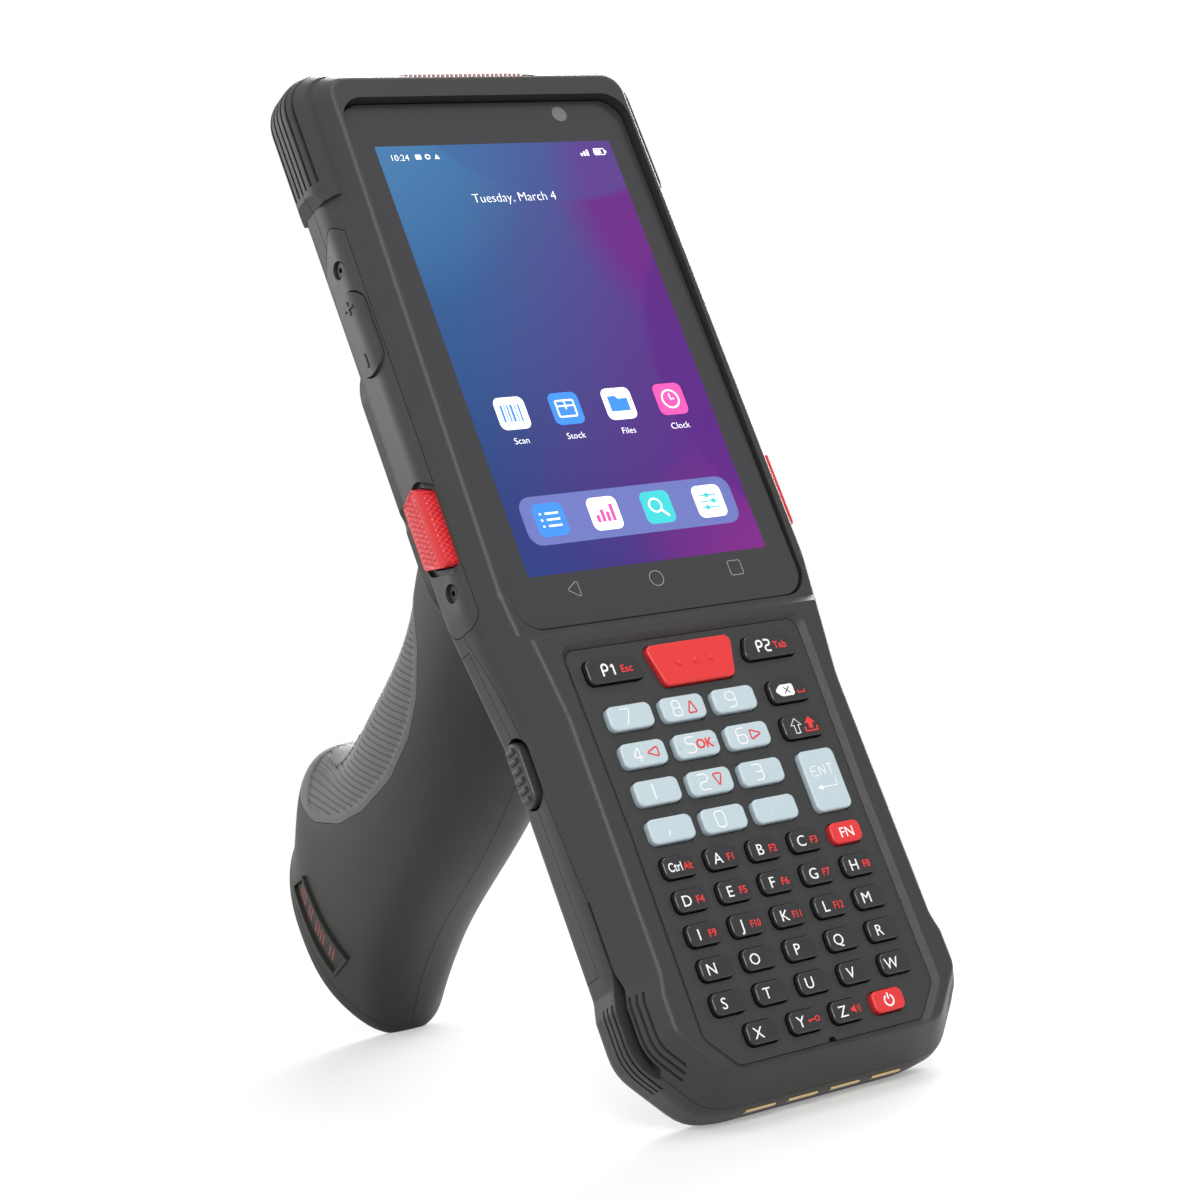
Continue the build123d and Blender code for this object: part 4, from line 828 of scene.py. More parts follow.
class PenLetter(Enum):
    """Squared figures and letters as pen lines in a unit cell."""

    ZERO = (((0, 0), (1, 0), (1, 1), (0, 1), (0, 0)),)
    ONE = (((0.5, 0), (0.5, 1)),)
    TWO = (((0, 1), (1, 1), (1, 0.52), (0, 0.48), (0, 0), (1, 0)),)
    THREE = (((0, 1), (1, 1), (1, 0), (0, 0)), ((0.3, 0.52), (1, 0.52)))
    FOUR = (((0.72, 0), (0.72, 1), (0, 0.28), (1, 0.28)),)
    FIVE = (((1, 1), (0.05, 1), (0.05, 0.56), (1, 0.56), (1, 0), (0, 0)),)
    SIX = (((0.9, 1), (0, 1), (0, 0), (1, 0), (1, 0.56), (0, 0.56)),)
    SEVEN = (((0, 1), (1, 1), (0.38, 0)),)
    EIGHT = (((0, 0), (1, 0), (1, 0.52), (0, 0.52), (0, 0)), ((0.1, 0.52), (0.1, 1), (0.9, 1), (0.9, 0.52)))
    NINE = (((1, 0.44), (0, 0.44), (0, 1), (1, 1), (1, 0), (0.1, 0)),)
    COMMA = (((0.62, 0.42), (0.58, 0.24), (0.42, 0.1)),)
    DOT = (((0.44, 0.36), (0.56, 0.36)),)
    FLAGGED_ONE = (((0.15, 0.72), (0.55, 1), (0.55, 0)),)
    P = (((0, 0), (0, 1), (1, 1), (1, 0.45), (0, 0.45)),)
    E = (((1, 1), (0, 1), (0, 0), (1, 0)), ((0, 0.5), (0.8, 0.5)))
    N = (((0, 0), (0, 1), (1, 0), (1, 1)),)
    T = (((0, 1), (1, 1)), ((0.5, 1), (0.5, 0)))


# ------------------------------------------------------------------------------------- keypad
def shift_arrow(middle: float, foot: float, tip: float) -> list[Flat]:
    """An upright arrow's outline, by the middle of its shaft and its lowest and highest points."""
    shaft, head, neck = 0.45, 1.15, tip - 1.25
    return [(middle - shaft, foot), (middle + shaft, foot), (middle + shaft, neck), (middle + head, neck),
            (middle, tip), (middle - head, neck), (middle - shaft, neck)]


@dataclass(frozen=True)
class Legend:
    """Marks of one colour on one key, in millimetres about the key's middle.

    A mark on the second layer lies on the first one's.
    """

    node: str
    finish: Finish
    slot: Slot
    marks: Marks
    layer: int = 1


def soft_key(node: str, figure: PenLetter, word: str) -> tuple[Legend, Legend]:
    """A programmable key's bold squared letter and figure, and its small red word."""
    lines = strokes((PenLetter.P, -2.1, 0, 1.15, 2.1), (figure, -0.4, 0, 1.15, 2.1))
    return (Legend(node, Finish.WHITE_INK, Slot.KEY_BLACK, [Sign(lines, 0.4, 0.3)]),
            Legend(node, Finish.RED_INK, Slot.KEY_BLACK, [Word(word, 1.4, 0.02, x=2.3, y=-0.1)]))


@dataclass
class Keypad:
    """Legends of the keys, printed on their tops in white and red."""

    ink: float = 0.02
    figure_width: float = 1.9
    figure_height: float = 2.85
    figure_pen: float = 0.30
    figure_cut: float = 0.4
    figure_x: float = -0.9
    shared_figure_x: float = -1.5
    arrow_size: float = 2.35
    arrow_narrow: float = 0.8
    arrow_tip: float = 0.95
    arrow_cut: float = 0.25
    arrow_x: float = 1.6
    bump_x: float = 3.7
    bump_radius: float = 0.42
    bump_height: float = 0.16
    small_pitch: float = 9.05
    small_sign: Flat = (1.5, -0.1)

    FIGURES = {
        **{f"key_{digit}": letter for digit, letter in enumerate(list(PenLetter)[:10])},
        "key_comma": PenLetter.COMMA, "key_dot": PenLetter.DOT}
    ARROW_TURNS = {"key_8": 0.0, "key_4": 90.0, "key_2": 180.0, "key_6": -90.0}
    OK_WORD = Word("OK", 1.75, 0.035, x=1.5)
    LETTER = Word("", 2.05, x=-1.15)
    LONG_LETTER = Word("", 1.65, 0.015, 0.78, x=-1.05)
    NUMBER = Word("", 1.35, 0.02, 0.95, x=1.55, y=-0.15)
    LONG_NUMBER = replace(NUMBER, squeeze=0.8)
    RETURN_SIGN = (
        Sign(strokes((PenLetter.E, -1.8, 1.7, 1.2, 1.8), (PenLetter.N, 0, 1.7, 1.2, 1.8),
                     (PenLetter.T, 1.8, 1.7, 1.2, 1.8)), 0.24, 0.3),
        Sign([[(2.1, 0.0), (2.1, -1.4), (-1.4, -1.4)]], 0.26),
        Sign([[(-2.4, -1.4), (-1.2, -0.9), (-1.2, -1.9)]]))
    BACKSPACE_BOX = Sign([rounded(
        [(-3.2, 0), (-2.0, 1.1), (0.9, 1.1), (0.9, -1.1), (-2.0, -1.1)], 0.3, True)])
    BACKSPACE_CROSS = Sign([[(-1.2, -0.6), (0, 0.6)], [(-1.2, 0.6), (0, -0.6)]], 0.2)
    SPACE_SIGN = Sign([[(1.7, -0.3), (1.7, -0.8), (3.1, -0.8), (3.1, -0.3)]], 0.34)
    TRAY = Sign([[(0.3, -0.4), (0.3, -1.2), (2.9, -1.2), (2.9, -0.4)]], 0.42)
    POWER_SIGN = Sign([ring(0, -0.1, 0.95, 120, 300, 18), [(0, 0.1), (0, 1.25)]], 0.36)
    LEGENDS = (
        Legend("key_enter", Finish.WHITE_INK, Slot.KEY_PALE, RETURN_SIGN),
        *soft_key("key_p1", PenLetter.FLAGGED_ONE, "Esc"),
        *soft_key("key_p2", PenLetter.TWO, "Tab"),
        Legend("key_backspace", Finish.WHITE_INK, Slot.KEY_BLACK, [BACKSPACE_BOX]),
        Legend("key_backspace", Finish.DARK_INK, Slot.KEY_BLACK, [BACKSPACE_CROSS], 2),
        Legend("key_backspace", Finish.RED_INK, Slot.KEY_BLACK, [SPACE_SIGN]),
        Legend("key_shift", Finish.WHITE_INK, Slot.KEY_BLACK,
               [Sign([shift_arrow(-1.5, -1.3, 1.45)], 0.26, closed=True)]),
        Legend("key_shift", Finish.RED_INK, Slot.KEY_BLACK, [Sign([shift_arrow(1.6, -0.75, 1.5)]), TRAY]),
        Legend("key_fn", Finish.WHITE_INK, Slot.KEY_RED, [Word("FN", 1.9, 0.005)]),
        Legend("key_power", Finish.WHITE_INK, Slot.KEY_RED, [POWER_SIGN]))
    ROWS = (
        ("keys_ctrl_a_to_c", ("Ctrl", "A", "B", "C"), ("Alt", "F1", "F2", "F3")),
        ("keys_d_to_h", "DEFGH", ("F4", "F5", "F6", "F7", "F8")),
        ("keys_i_to_m", "IJKLM", ("F9", "F10", "F11", "F12")),
        ("keys_n_to_r", "NOPQR", ()),
        ("keys_s_to_w", "STUVW", ()),
        ("keys_x_to_z", "XYZ", ()))
    LOCK_SIGN = (
        Sign([ring(0.8, 0, 0.42, 0, 360, 14)], 0.24, closed=True),
        Sign([[(0.4, 0), (-1.2, 0)], [(-1.0, 0), (-1.0, -0.4)], [(-0.6, 0), (-0.6, -0.3)]], 0.24))
    LOUDSPEAKER_SIGN = (
        Sign([[(-0.9, -0.3), (-0.9, 0.3), (-0.5, 0.3), (0.1, 0.75), (0.1, -0.75), (-0.5, -0.3)]]),
        Sign([ring(0, 0, 0.65, -40, 80, 6), ring(0, 0, 1.1, -40, 80, 6)], 0.2))

    def printer(self, node: str, layer: int = 1) -> tuple[Printer, float, float]:
        """A printer on a key's top, and the key's middle."""
        middle = STANCE.centre(node)
        return Printer(middle.z + self.ink * layer, self.ink), middle.x, middle.y

    @staticmethod
    def give(node: str, finish: Finish, slot: Slot, marks: Sequence[bpy.types.Object]) -> None:
        """Hand one key's printed marks of one colour over as a legend that moves with the key."""
        Bench.hand_over(f"legend_{node}_{finish.shade()}", marks, finish, f"{node}_body", slot)

    def lay(self, legend: Legend) -> None:
        """Print one legend."""
        printer, x, y = self.printer(legend.node, legend.layer)
        marks = [mark.draw(printer, x, y) for mark in legend.marks]
        self.give(legend.node, legend.finish, legend.slot, marks)

    def triangle(self, turn: float) -> Sign:
        """A hollow direction arrow, turned from upright.

        Args:
            turn: degrees to the left.

        Returns:
            The arrow beside a figure.
        """
        side = self.arrow_size / 2
        foot = side * self.arrow_narrow
        corners = ((-foot, -side), (foot, -side), (0.0, side * self.arrow_tip))
        spin = Matrix.Rotation(math.radians(turn), 2)
        points = [spin @ Vector(corner) for corner in corners]
        outline = [(point.x + self.arrow_x, point.y) for point in points]
        return Sign([outline], self.figure_pen, self.arrow_cut, True)

    def figures(self) -> None:
        """The digit keys, the comma and the dot: thin squared white figures, with arrows beside four."""
        for node, letter in self.FIGURES.items():
            left = self.shared_figure_x if node in self.ARROW_TURNS or node == "key_5" else self.figure_x
            lines = strokes((letter, left, 0, self.figure_width, self.figure_height))
            figure = Sign(lines, self.figure_pen, self.figure_cut)
            self.lay(Legend(node, Finish.WHITE_INK, Slot.KEY_PALE, [figure]))
            if node in self.ARROW_TURNS:
                arrow = self.triangle(self.ARROW_TURNS[node])
                self.lay(Legend(node, Finish.RED_INK, Slot.KEY_PALE, [arrow]))
        self.lay(Legend("key_5", Finish.RED_INK, Slot.KEY_PALE, [self.OK_WORD]))

    def locating_bumps(self) -> None:
        """Two small domes that a finger finds on the middle key."""
        printer, x, y = self.printer("key_5")
        domes = []
        for side in (-1, 1):
            bpy.ops.mesh.primitive_uv_sphere_add(segments=20, ring_count=12, radius=self.bump_radius)
            dome = bpy.context.object
            dome.data.transform(Matrix.Diagonal((1, 1, self.bump_height / self.bump_radius, 1)))
            dome.data.transform(Matrix.Translation((x + side * self.bump_x, y, printer.level)))
            bpy.ops.object.shade_smooth()
            domes.append(dome)
        Bench.hand_over("locating_bumps", domes, Finish.KEY_PALE, "key_5_body", Slot.KEY_PALE)

    def letter_rows(self) -> None:
        """The letter keys, row by row: a white letter and, on the first twelve, a red function number."""
        for node, letters, numbers in self.ROWS:
            printer, middle, y = self.printer(node)
            first = middle - (len(letters) - 1) / 2 * self.small_pitch
            columns = [first + column * self.small_pitch for column in range(len(letters))]
            words = [replace(self.LETTER if len(text) == 1 else self.LONG_LETTER, text=text)
                     for text in letters]
            counts = [replace(self.NUMBER if len(text) <= 2 else self.LONG_NUMBER, text=text)
                      for text in numbers]
            whites = [word.draw(printer, x, y) for word, x in zip(words, columns)]
            reds = [count.draw(printer, x, y) for count, x in zip(counts, columns)]
            if node == "keys_x_to_z":
                right, up = self.small_sign
                signs = (self.LOCK_SIGN, self.LOUDSPEAKER_SIGN)
                reds = [mark.draw(printer, x + right, y + up)
                        for sign, x in zip(signs, columns[1:]) for mark in sign]
            self.give(node, Finish.WHITE_INK, Slot.KEY_BLACK, whites)
            if reds:
                self.give(node, Finish.RED_INK, Slot.KEY_BLACK, reds)

    def build(self) -> None:
        """Print every legend."""
        self.figures()
        self.locating_bumps()
        for legend in self.LEGENDS:
            self.lay(legend)
        self.letter_rows()


# ------------------------------------------------------------------------------------- screen
@dataclass(frozen=True)
class Tile:
    """A tile of the screen: its finish, its sign's finish, the sign about its middle and a caption."""

    finish: Finish
    ink: Finish
    marks: Marks
    caption: str = ""


@dataclass
class Screen:
    """The lit screen seen through the cover glass: wallpaper, status line, date, tiles and a dock."""

    width: float = 51.84
    height: float = 86.40
    step: float = 0.03
    status_drop: float = 2.4
    tile_size: float = 6.4
    tile_corner: float = 1.3
    column_pitch: float = 11.6
    row_y: float = -12.0
    caption_drop: float = 5.4
    caption: Word = Word("", 1.3, -0.015)
    dock_y: float = -33.0
    dock_width: float = 46.0
    dock_height: float = 9.4
    dock_corner: float = 2.6
    navigation_y: float = -46.4
    navigation_x: float = 17.6
    sensor: Flat = (16.9, 49.3)
    sensor_radius: float = 1.6

    SIGNAL = tuple(
        Sign([[(left, -0.8), (left + 0.45, -0.8), (left + 0.45, top), (left, top)]])
        for left, top in ((-7.6 + bar * 0.7, -0.2 + bar * 0.35) for bar in range(3)))
    BATTERY = (
        Sign([tile(-3.2, 0, 2.4, 1.3, 0.25)], 0.2, closed=True), Sign([tile(-3.5, 0, 1.4, 0.8, 0.1)]),
        Sign([tile(-1.75, 0, 0.3, 0.6, 0.1)]))
    CLOCK_TIME = Word("10:24", 1.35, -0.018, x=4.4)
    DATE = Word("Tuesday, March 4", 2.0, -0.022, 0.94, y=-9.0)
    NOTICES = (
        Sign([tile(8.4, 0, 1.2, 1.0, 0.15)]), Sign([ring(10.4, 0, 0.45)], 0.26),
        Sign([[(11.8, -0.5), (12.9, -0.5), (12.35, 0.5)]]))
    BAR_CODE = tuple(
        Sign([tile(spot, 0, width, 3.4, 0.05)])
        for spot, width in zip((-1.9, -1.2, -0.6, 0.2, 1.0, 1.75), (0.45, 0.2, 0.3, 0.5, 0.2, 0.35)))
    CARTON = (
        Sign([tile(0, 0, 3.8, 3.2, 0.3)], 0.36, closed=True),
        Sign([[(-1.8, 0.5), (1.8, 0.5)], [(0, 1.5), (0, -0.2)]], 0.32))
    FOLDER = (Sign([[(-2.1, -1.5), (2.1, -1.5), (2.1, 1.0), (0.1, 1.0), (-0.4, 1.6), (-2.1, 1.6)]]),)
    DIAL = (Sign([ring(0, 0, 1.8)], 0.36, closed=True), Sign([[(0, 1.1), (0, 0), (0.8, 0)]], 0.3))
    TICKED_LINES = tuple(
        Sign([[(-0.8, level), (2.0, level)], [(-2.0, level), (-1.6, level)]], 0.4)
        for level in (-1.2, 0.0, 1.2))
    CHART = tuple(
        Sign([tile(-1.65 + column * 1.1, -1.6 + tall / 2, 0.75, tall, 0.1)])
        for column, tall in enumerate((1.4, 2.4, 1.9, 3.3)))
    MAGNIFIER = (Sign([ring(-0.4, 0.4, 1.3)], 0.38, closed=True), Sign([[(0.6, -0.6), (1.9, -1.9)]], 0.5))
    SLIDERS = (
        *(Sign([[(-2.0, level), (2.0, level)]], 0.26) for level in (-1.2, 0.0, 1.2)),
        *(Sign([ring(knob, level, 0.5, 0, 360, 16)])
          for level, knob in ((-1.2, -0.8), (0.0, 0.9), (1.2, -0.2))))
    ROW = (
        Tile(Finish.LIT_WHITE, Finish.LIT_BLUE, BAR_CODE, "Scan"),
        Tile(Finish.LIT_BLUE, Finish.LIT_WHITE, CARTON, "Stock"),
        Tile(Finish.LIT_WHITE, Finish.LIT_BLUE, FOLDER, "Files"),
        Tile(Finish.LIT_ROSE, Finish.LIT_WHITE, DIAL, "Clock"))
    DOCK = (
        Tile(Finish.LIT_BLUE, Finish.LIT_WHITE, TICKED_LINES),
        Tile(Finish.LIT_WHITE, Finish.LIT_ROSE, CHART),
        Tile(Finish.LIT_TEAL, Finish.LIT_WHITE, MAGNIFIER),
        Tile(Finish.LIT_WHITE, Finish.LIT_TEAL, SLIDERS))
    TOUCH_SIGNS = (
        (-1, Sign([[(-1.5, 0), (1.0, 1.6), (1.0, -1.6)]], 0.16, 0.3, True)),
        (0, Sign([ring(0, 0, 1.45)], 0.16, closed=True)),
        (1, Sign([tile(0, 0, 2.8, 2.8, 0.4)], 0.16, closed=True)))

    def layer(self, number: int) -> Printer:
        """A printer for one of the layers over the glass face."""
        face = STANCE.centre("screen_glass").z
        return Printer(face + self.step * (number + 0.5), self.step / 2)

    @staticmethod
    def lay(name: str, finish: Finish, marks: Sequence[bpy.types.Object], slot: Slot = Slot.DISPLAY) -> None:
        """Join marks into one piece of the screen."""
        Bench.hand_over(name, marks, finish, TERMINAL, slot)

    def status_line(self) -> None:
        """The clock, a signal, a battery and the date."""
        top, right = self.height / 2 - self.status_drop, self.width / 2
        layer = self.layer(1)
        spots = [(mark, right) for mark in (*self.SIGNAL, *self.BATTERY)]
        spots += [(self.CLOCK_TIME, -right), (self.DATE, 0), *((mark, -right) for mark in self.NOTICES)]
        self.lay("screen_status", Finish.LIT_WHITE, [mark.draw(layer, x, top) for mark, x in spots])

    def tiles(self) -> None:
        """A captioned row of tiles and a dock of four more, each with a plain sign."""
        faces, signs = self.layer(2), self.layer(3)
        dock = tile(0, self.dock_y, self.dock_width, self.dock_height, self.dock_corner)
        self.lay("screen_dock", Finish.LIT_SHADE, [self.layer(1).shape(dock)])
        placed = [(each, (column - (len(row) - 1) / 2) * self.column_pitch, y)
                  for row, y in ((self.ROW, self.row_y), (self.DOCK, self.dock_y))
                  for column, each in enumerate(row)]
        for finish in (Finish.LIT_WHITE, Finish.LIT_BLUE, Finish.LIT_ROSE, Finish.LIT_TEAL):
            self.lay(f"screen_tiles_lit_{finish.shade()}", finish, [
                faces.shape(tile(x, y, self.tile_size, self.tile_size, self.tile_corner))
                for each, x, y in placed if each.finish is finish])
        self.lay("screen_captions", Finish.LIT_WHITE, [
            replace(self.caption, text=each.caption).draw(faces, x, y - self.caption_drop)
            for each, x, y in placed if each.caption])
        for finish in (Finish.LIT_BLUE, Finish.LIT_WHITE, Finish.LIT_ROSE, Finish.LIT_TEAL):
            self.lay(f"screen_signs_{finish.shade()}", finish, [
                mark.draw(signs, x, y) for each, x, y in placed if each.ink is finish for mark in each.marks])

    def build(self) -> None:
        """Light the screen, and print the touch signs under the picture and the sensor above it."""
        ground = self.layer(0)
        self.lay("screen_picture", Finish.PICTURE, [ground.shape(tile(0, 0, self.width, self.height, 0.3))])
        self.status_line()
        self.tiles()
        self.lay("navigation_signs", Finish.NAVIGATION, [
            sign.draw(ground, side * self.navigation_x, self.navigation_y)
            for side, sign in self.TOUCH_SIGNS],
            Slot.GLASS)
        dot = ground.shape(ring(*self.sensor, self.sensor_radius, 0, 360, 40))
        self.lay("sensor_window", Finish.CAMERA_DOT, [dot], Slot.GLASS)


# ----------------------------------------------------------------------- scored and knurled pieces
@dataclass(frozen=True)
class Score:
    """Parallel cuts across a piece: a direction, the first offset, the step and how many."""

    normal: Triple
    first: float
    step: float
    count: int

    def cut(self) -> None:
        """Divide the edited piece's faces along every cut."""
        direction = Vector(self.normal).normalized()
        for number in range(self.count):
            bpy.ops.mesh.select_all(action="SELECT")
            place = direction * (self.first + self.step * number)
            bpy.ops.mesh.bisect(plane_co=tuple(place), plane_no=tuple(direction))


def reach(direction: Triple, node: str) -> tuple[float, float]:
    """How far a node's box reaches along a direction.

    Args:
        direction: along the terminal's axes.
        node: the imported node.

    Returns:
        The lowest and the highest distance.
    """
    low, high = STANCE.box(node)
    offsets = [Vector(direction).dot(Vector((x, y, z)))
               for x in (low.x, high.x) for y in (low.y, high.y) for z in (low.z, high.z)]
    return min(offsets), max(offsets)


def gap_to_edge(point: Flat, border: Outline) -> float:
    """How far inside a closed border a point lies; below 0 outside it.

    Args:
        point: the point.
        border: the border's corners.

    Returns:
        Distance to the nearest side.
    """
    x, y = point
    nearest, inside = math.inf, False
    for (ax, ay), (bx, by) in zip(border, [*border[1:], border[0]]):
        run, rise = bx - ax, by - ay
        along = max(0.0, min(1.0, ((x - ax) * run + (y - ay) * rise) / (run ** 2 + rise ** 2)))
        nearest = min(nearest, math.hypot(x - ax - along * run, y - ay - along * rise))
        if (ay > y) != (by > y) and x < run * (y - ay) / rise + ax:
            inside = not inside
    return nearest if inside else -nearest


@dataclass
class FingerInsert:
    """The grip's rubber insert with its fine ribs, inside a smooth lip.

    The field inside the lip is sunk, and the grooves' floors go farther by the depth. The axis is the
    line in the grip that outer faces look away from.
    """

    slope: float = math.radians(54.5)
    first: float = -55.0
    pitch: float = 1.36
    count: int = 46
    groove: float = 0.42
    floor: float = 0.16
    depth: float = 0.18
    sink: float = 0.30
    lip: float = 1.5
    corner_cut: float = 2.2
    fade: float = 0.5
    lowest: float = -116.5
    length_step: float = 1.0
    axis_y: float = -30.0
    outer: float = 0.25
    slack: float = 0.01
    smooth: float = 24.0
    border: tuple = (
        (40.0, -51.5), (-21.0, -51.5), (-32.4, -54.6), (-40.2, -60.5), (-45.6, -68.0), (-49.6, -79.3),
        (-50.7, -93.4), (-49.3, -104.3), (-44.7, -115.0), (-38.0, -120.5), (-20.0, -122.5), (40.0, -122.5))

    def build(self) -> None:
        """Rib a copy of the plain insert."""
        across = (0.0, math.sin(self.slope), math.cos(self.slope))
        along = (0.0, across[2], -across[1])
        piece = Bench.copy_of("grip_insert", "insert_ribs")
        edges = (-self.groove / 2, -self.floor / 2, self.floor / 2, self.groove / 2)
        scores = [Score(across, self.first + edge, -self.pitch, self.count) for edge in edges]
        for direction in (along, (1.0, 0.0, 0.0)):
            low, high = reach(direction, "grip_insert")
            scores.append(Score(direction, low, self.length_step, int((high - low) / self.length_step)))
        Bench.edit(piece, *(score.cut for score in scores))
        border = rounded(self.border, self.corner_cut, True)
        Bench.press(piece, lambda vertex: self.depth_at(vertex, Vector(across), border), self.smooth)
        piece = Bench.hand_over("insert_ribs", [piece], Finish.INSERT, TERMINAL, Slot.RUBBER)
        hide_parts("grip_insert")

    def depth_at(self, vertex: bpy.types.MeshVertex, across: Vector, border: Outline) -> float:
        """How far a point of the insert is pressed in.

        Args:
            vertex: the point.
            across: direction across the ribs.
            border: the insert's rounded border.

        Returns:
            The depth, 0 on the lip and on inner faces.
        """
        place = vertex.co
        room = min(gap_to_edge((place.y, place.z), border) - self.lip, place.z - self.lowest)
        outward = Vector((place.x, place.y - self.axis_y, 0.0)).normalized()
        if room <= 0 or vertex.normal.dot(outward) < self.outer:
            return 0.0
        row = (across.dot(place) - self.first) / -self.pitch
        near = abs(row - round(row)) * self.pitch < self.floor / 2 + self.slack
        return (self.sink + self.depth * (near and -0.5 < row < self.count)) * min(1.0, room / self.fade)


@dataclass
class ScanButton:
    """A side scan button, knurled on its outer and its screen side inside a smooth rim."""

    side: int
    pitch: float = 0.72
    depth: float = 0.16
    rim: float = 0.4
    face: float = 0.12
    smooth: float = 20.0
    outline: tuple = ((-21.8, -6.2), (-23.3, -4.2), (-37.7, -4.2), (-35.5, -10.3), (-23.3, -10.3))
    crossings: tuple = ((0.5, 0.7071, 0.5), (-0.5, 0.7071, -0.5))

    def knurled(self, place: Vector, low: Vector, high: Vector) -> bool:
        """Whether a point lies inside the rim of a knurled side.

        Args:
            place: the point.
            low: the button's lowest corner.
            high: its highest corner.

        Returns:
            True where the knurl may be pressed in.
        """
        inward = place.x - low.x if self.side < 0 else high.x - place.x
        if inward < self.face:
            return gap_to_edge((place.y, place.z), self.outline) > self.rim
        seen = high.z - place.z < self.face and self.rim < inward < high.x - low.x - self.rim
        return seen and self.outline[2][0] + self.rim < place.y < self.outline[1][0] - self.rim

    def build(self) -> None:
        """Knurl a copy of the plain button."""
        node = f"scan_button_{'left' if self.side < 0 else 'right'}"
        piece = Bench.copy_of(node, f"knurled_{node}")
        box = STANCE.box(node)
        step = self.pitch / 2
        scores = []
        for crossing in self.crossings:
            lowest, highest = reach(crossing, node)
            first = math.floor(lowest / step) * step
            scores.append(Score(crossing, first, step, int((highest - first) / step) + 1))
        Bench.edit(piece, *(score.cut for score in scores))

        def depth_at(vertex: bpy.types.MeshVertex) -> float:
            """How far a point is pressed in."""
            rows = [round(Vector(crossing).normalized().dot(vertex.co) / step) for crossing in self.crossings]
            return self.depth if any(row % 2 for row in rows) and self.knurled(vertex.co, *box) else 0.0

        Bench.press(piece, depth_at, self.smooth)
        piece = Bench.hand_over(f"knurled_{node}", [piece], Finish.BUTTON_RED, f"{node}_body", Slot.BUTTON)
        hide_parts(node)


# ------------------------------------------------------------------------------ small surface pieces
@dataclass
class Reflector:
    """Slanted ridges over the red strip in the head's front edge."""

    pitch: float = 1.0
    width: float = 0.34
    height: float = 0.14
    lean: float = 0.55
    margin: float = 0.7
    face_band: float = 0.05

    def build(self) -> None:
        """Lay the ridges along the strip's own face."""
        points = STANCE.points("speaker_mesh")
        face = max(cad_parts["speaker_mesh"].data.polygons, key=lambda polygon: polygon.area)
        normal = (STANCE.matrix().inverted().to_3x3() @ face.normal).normalized()
        if normal.y < 0:
            normal = -normal
        along = Vector((1, 0, 0))
        up = normal.cross(along).normalized()
        top = max(normal.dot(point) for point in points)
        rises = [up.dot(point) for point in points if normal.dot(point) > top - self.face_band]
        middle = up * ((min(rises) + max(rises)) / 2) + normal * top
        half = (max(rises) - min(rises)) / 2 - self.width / 2
        end = max(point.x for point in points) - self.margin - self.lean
        count = int(2 * end / self.pitch) + 1
        spots = [(step - (count - 1) / 2) * self.pitch for step in range(count)]
        lines = [[(spot - self.lean, -half), (spot + self.lean, half)] for spot in spots]
        piece = Printer(0.0, self.height).pen(lines, self.width)
        piece.data.transform(Matrix((along, up, normal)).transposed().to_4x4())
        piece.data.transform(Matrix.Translation(middle))
        # the ridges' pale finish is a painted highlight over the red strip
        Bench.hand_over("reflector_ridges", [piece], Finish.RIDGES, TERMINAL, Slot.WEAVE)


@dataclass
class Badge:
    """Slanted bars in groups, printed in the framed field low on one side of the grip."""

    side: int
    start: Flat = (-55.0, -127.5)
    end: Flat = (-70.5, -125.6)
    half_height: float = 1.25
    bar_width: float = 0.55
    lean: float = 0.5
    bars: tuple = (0.0, 0.07, 0.14, 0.30, 0.37, 0.53, 0.60, 0.67, 0.74, 0.90, 0.97)
    clear_of_shell: float = 26.0
    lift: float = 0.02
    thickness: float = 0.03

    def bar(self, share: float) -> bpy.types.Object:
        """One slanted bar, beside the shell.

        Args:
            share: its place between the field's ends, from 0 to 1.

        Returns:
            The bar.
        """
        bpy.ops.mesh.primitive_grid_add(x_subdivisions=2, y_subdivisions=8, size=1)
        piece = bpy.context.object
        way = Vector(self.end) - Vector(self.start)
        spot = Vector(self.start) + way * share
        along = way.normalized()
        rise = Vector((-along.y, along.x)) + along * self.lean
        columns = (Vector((0, *along)) * self.bar_width, Vector((0, *rise)) * 2 * self.half_height,
                   Vector((1, 0, 0)))
        piece.data.transform(Matrix(columns).transposed().to_4x4())
        piece.data.transform(Matrix.Translation((self.side * self.clear_of_shell, *spot)))
        return piece

    def build(self) -> None:
        """Print the bars on the shell."""
        hand = "left" if self.side < 0 else "right"
        shell = Bench.copy_of(f"grip_shell_{hand}", "shell_under_bars")
        piece = Bench.join(f"badge_bars_{hand}", [self.bar(share) for share in self.bars])
        seat = piece.modifiers.new("seat", "SHRINKWRAP")
        seat.target = shell
        seat.wrap_method = "PROJECT"
        seat.use_project_x = True
        seat.use_negative_direction = self.side > 0
        seat.use_positive_direction = self.side < 0
        seat.offset = self.lift
        body = piece.modifiers.new("body", "SOLIDIFY")
        body.thickness = self.thickness
        body.offset = 0.0
        Bench.take(piece)
        for modifier in ("seat", "body"):
            bpy.ops.object.modifier_apply(modifier=modifier)
        Bench.edit(piece, lambda: bpy.ops.mesh.normals_make_consistent(inside=False))
        bpy.data.objects.remove(shell)
        Bench.hand_over(f"badge_bars_{hand}", [piece], Finish.BADGE_INK, TERMINAL, Slot.GRIP)


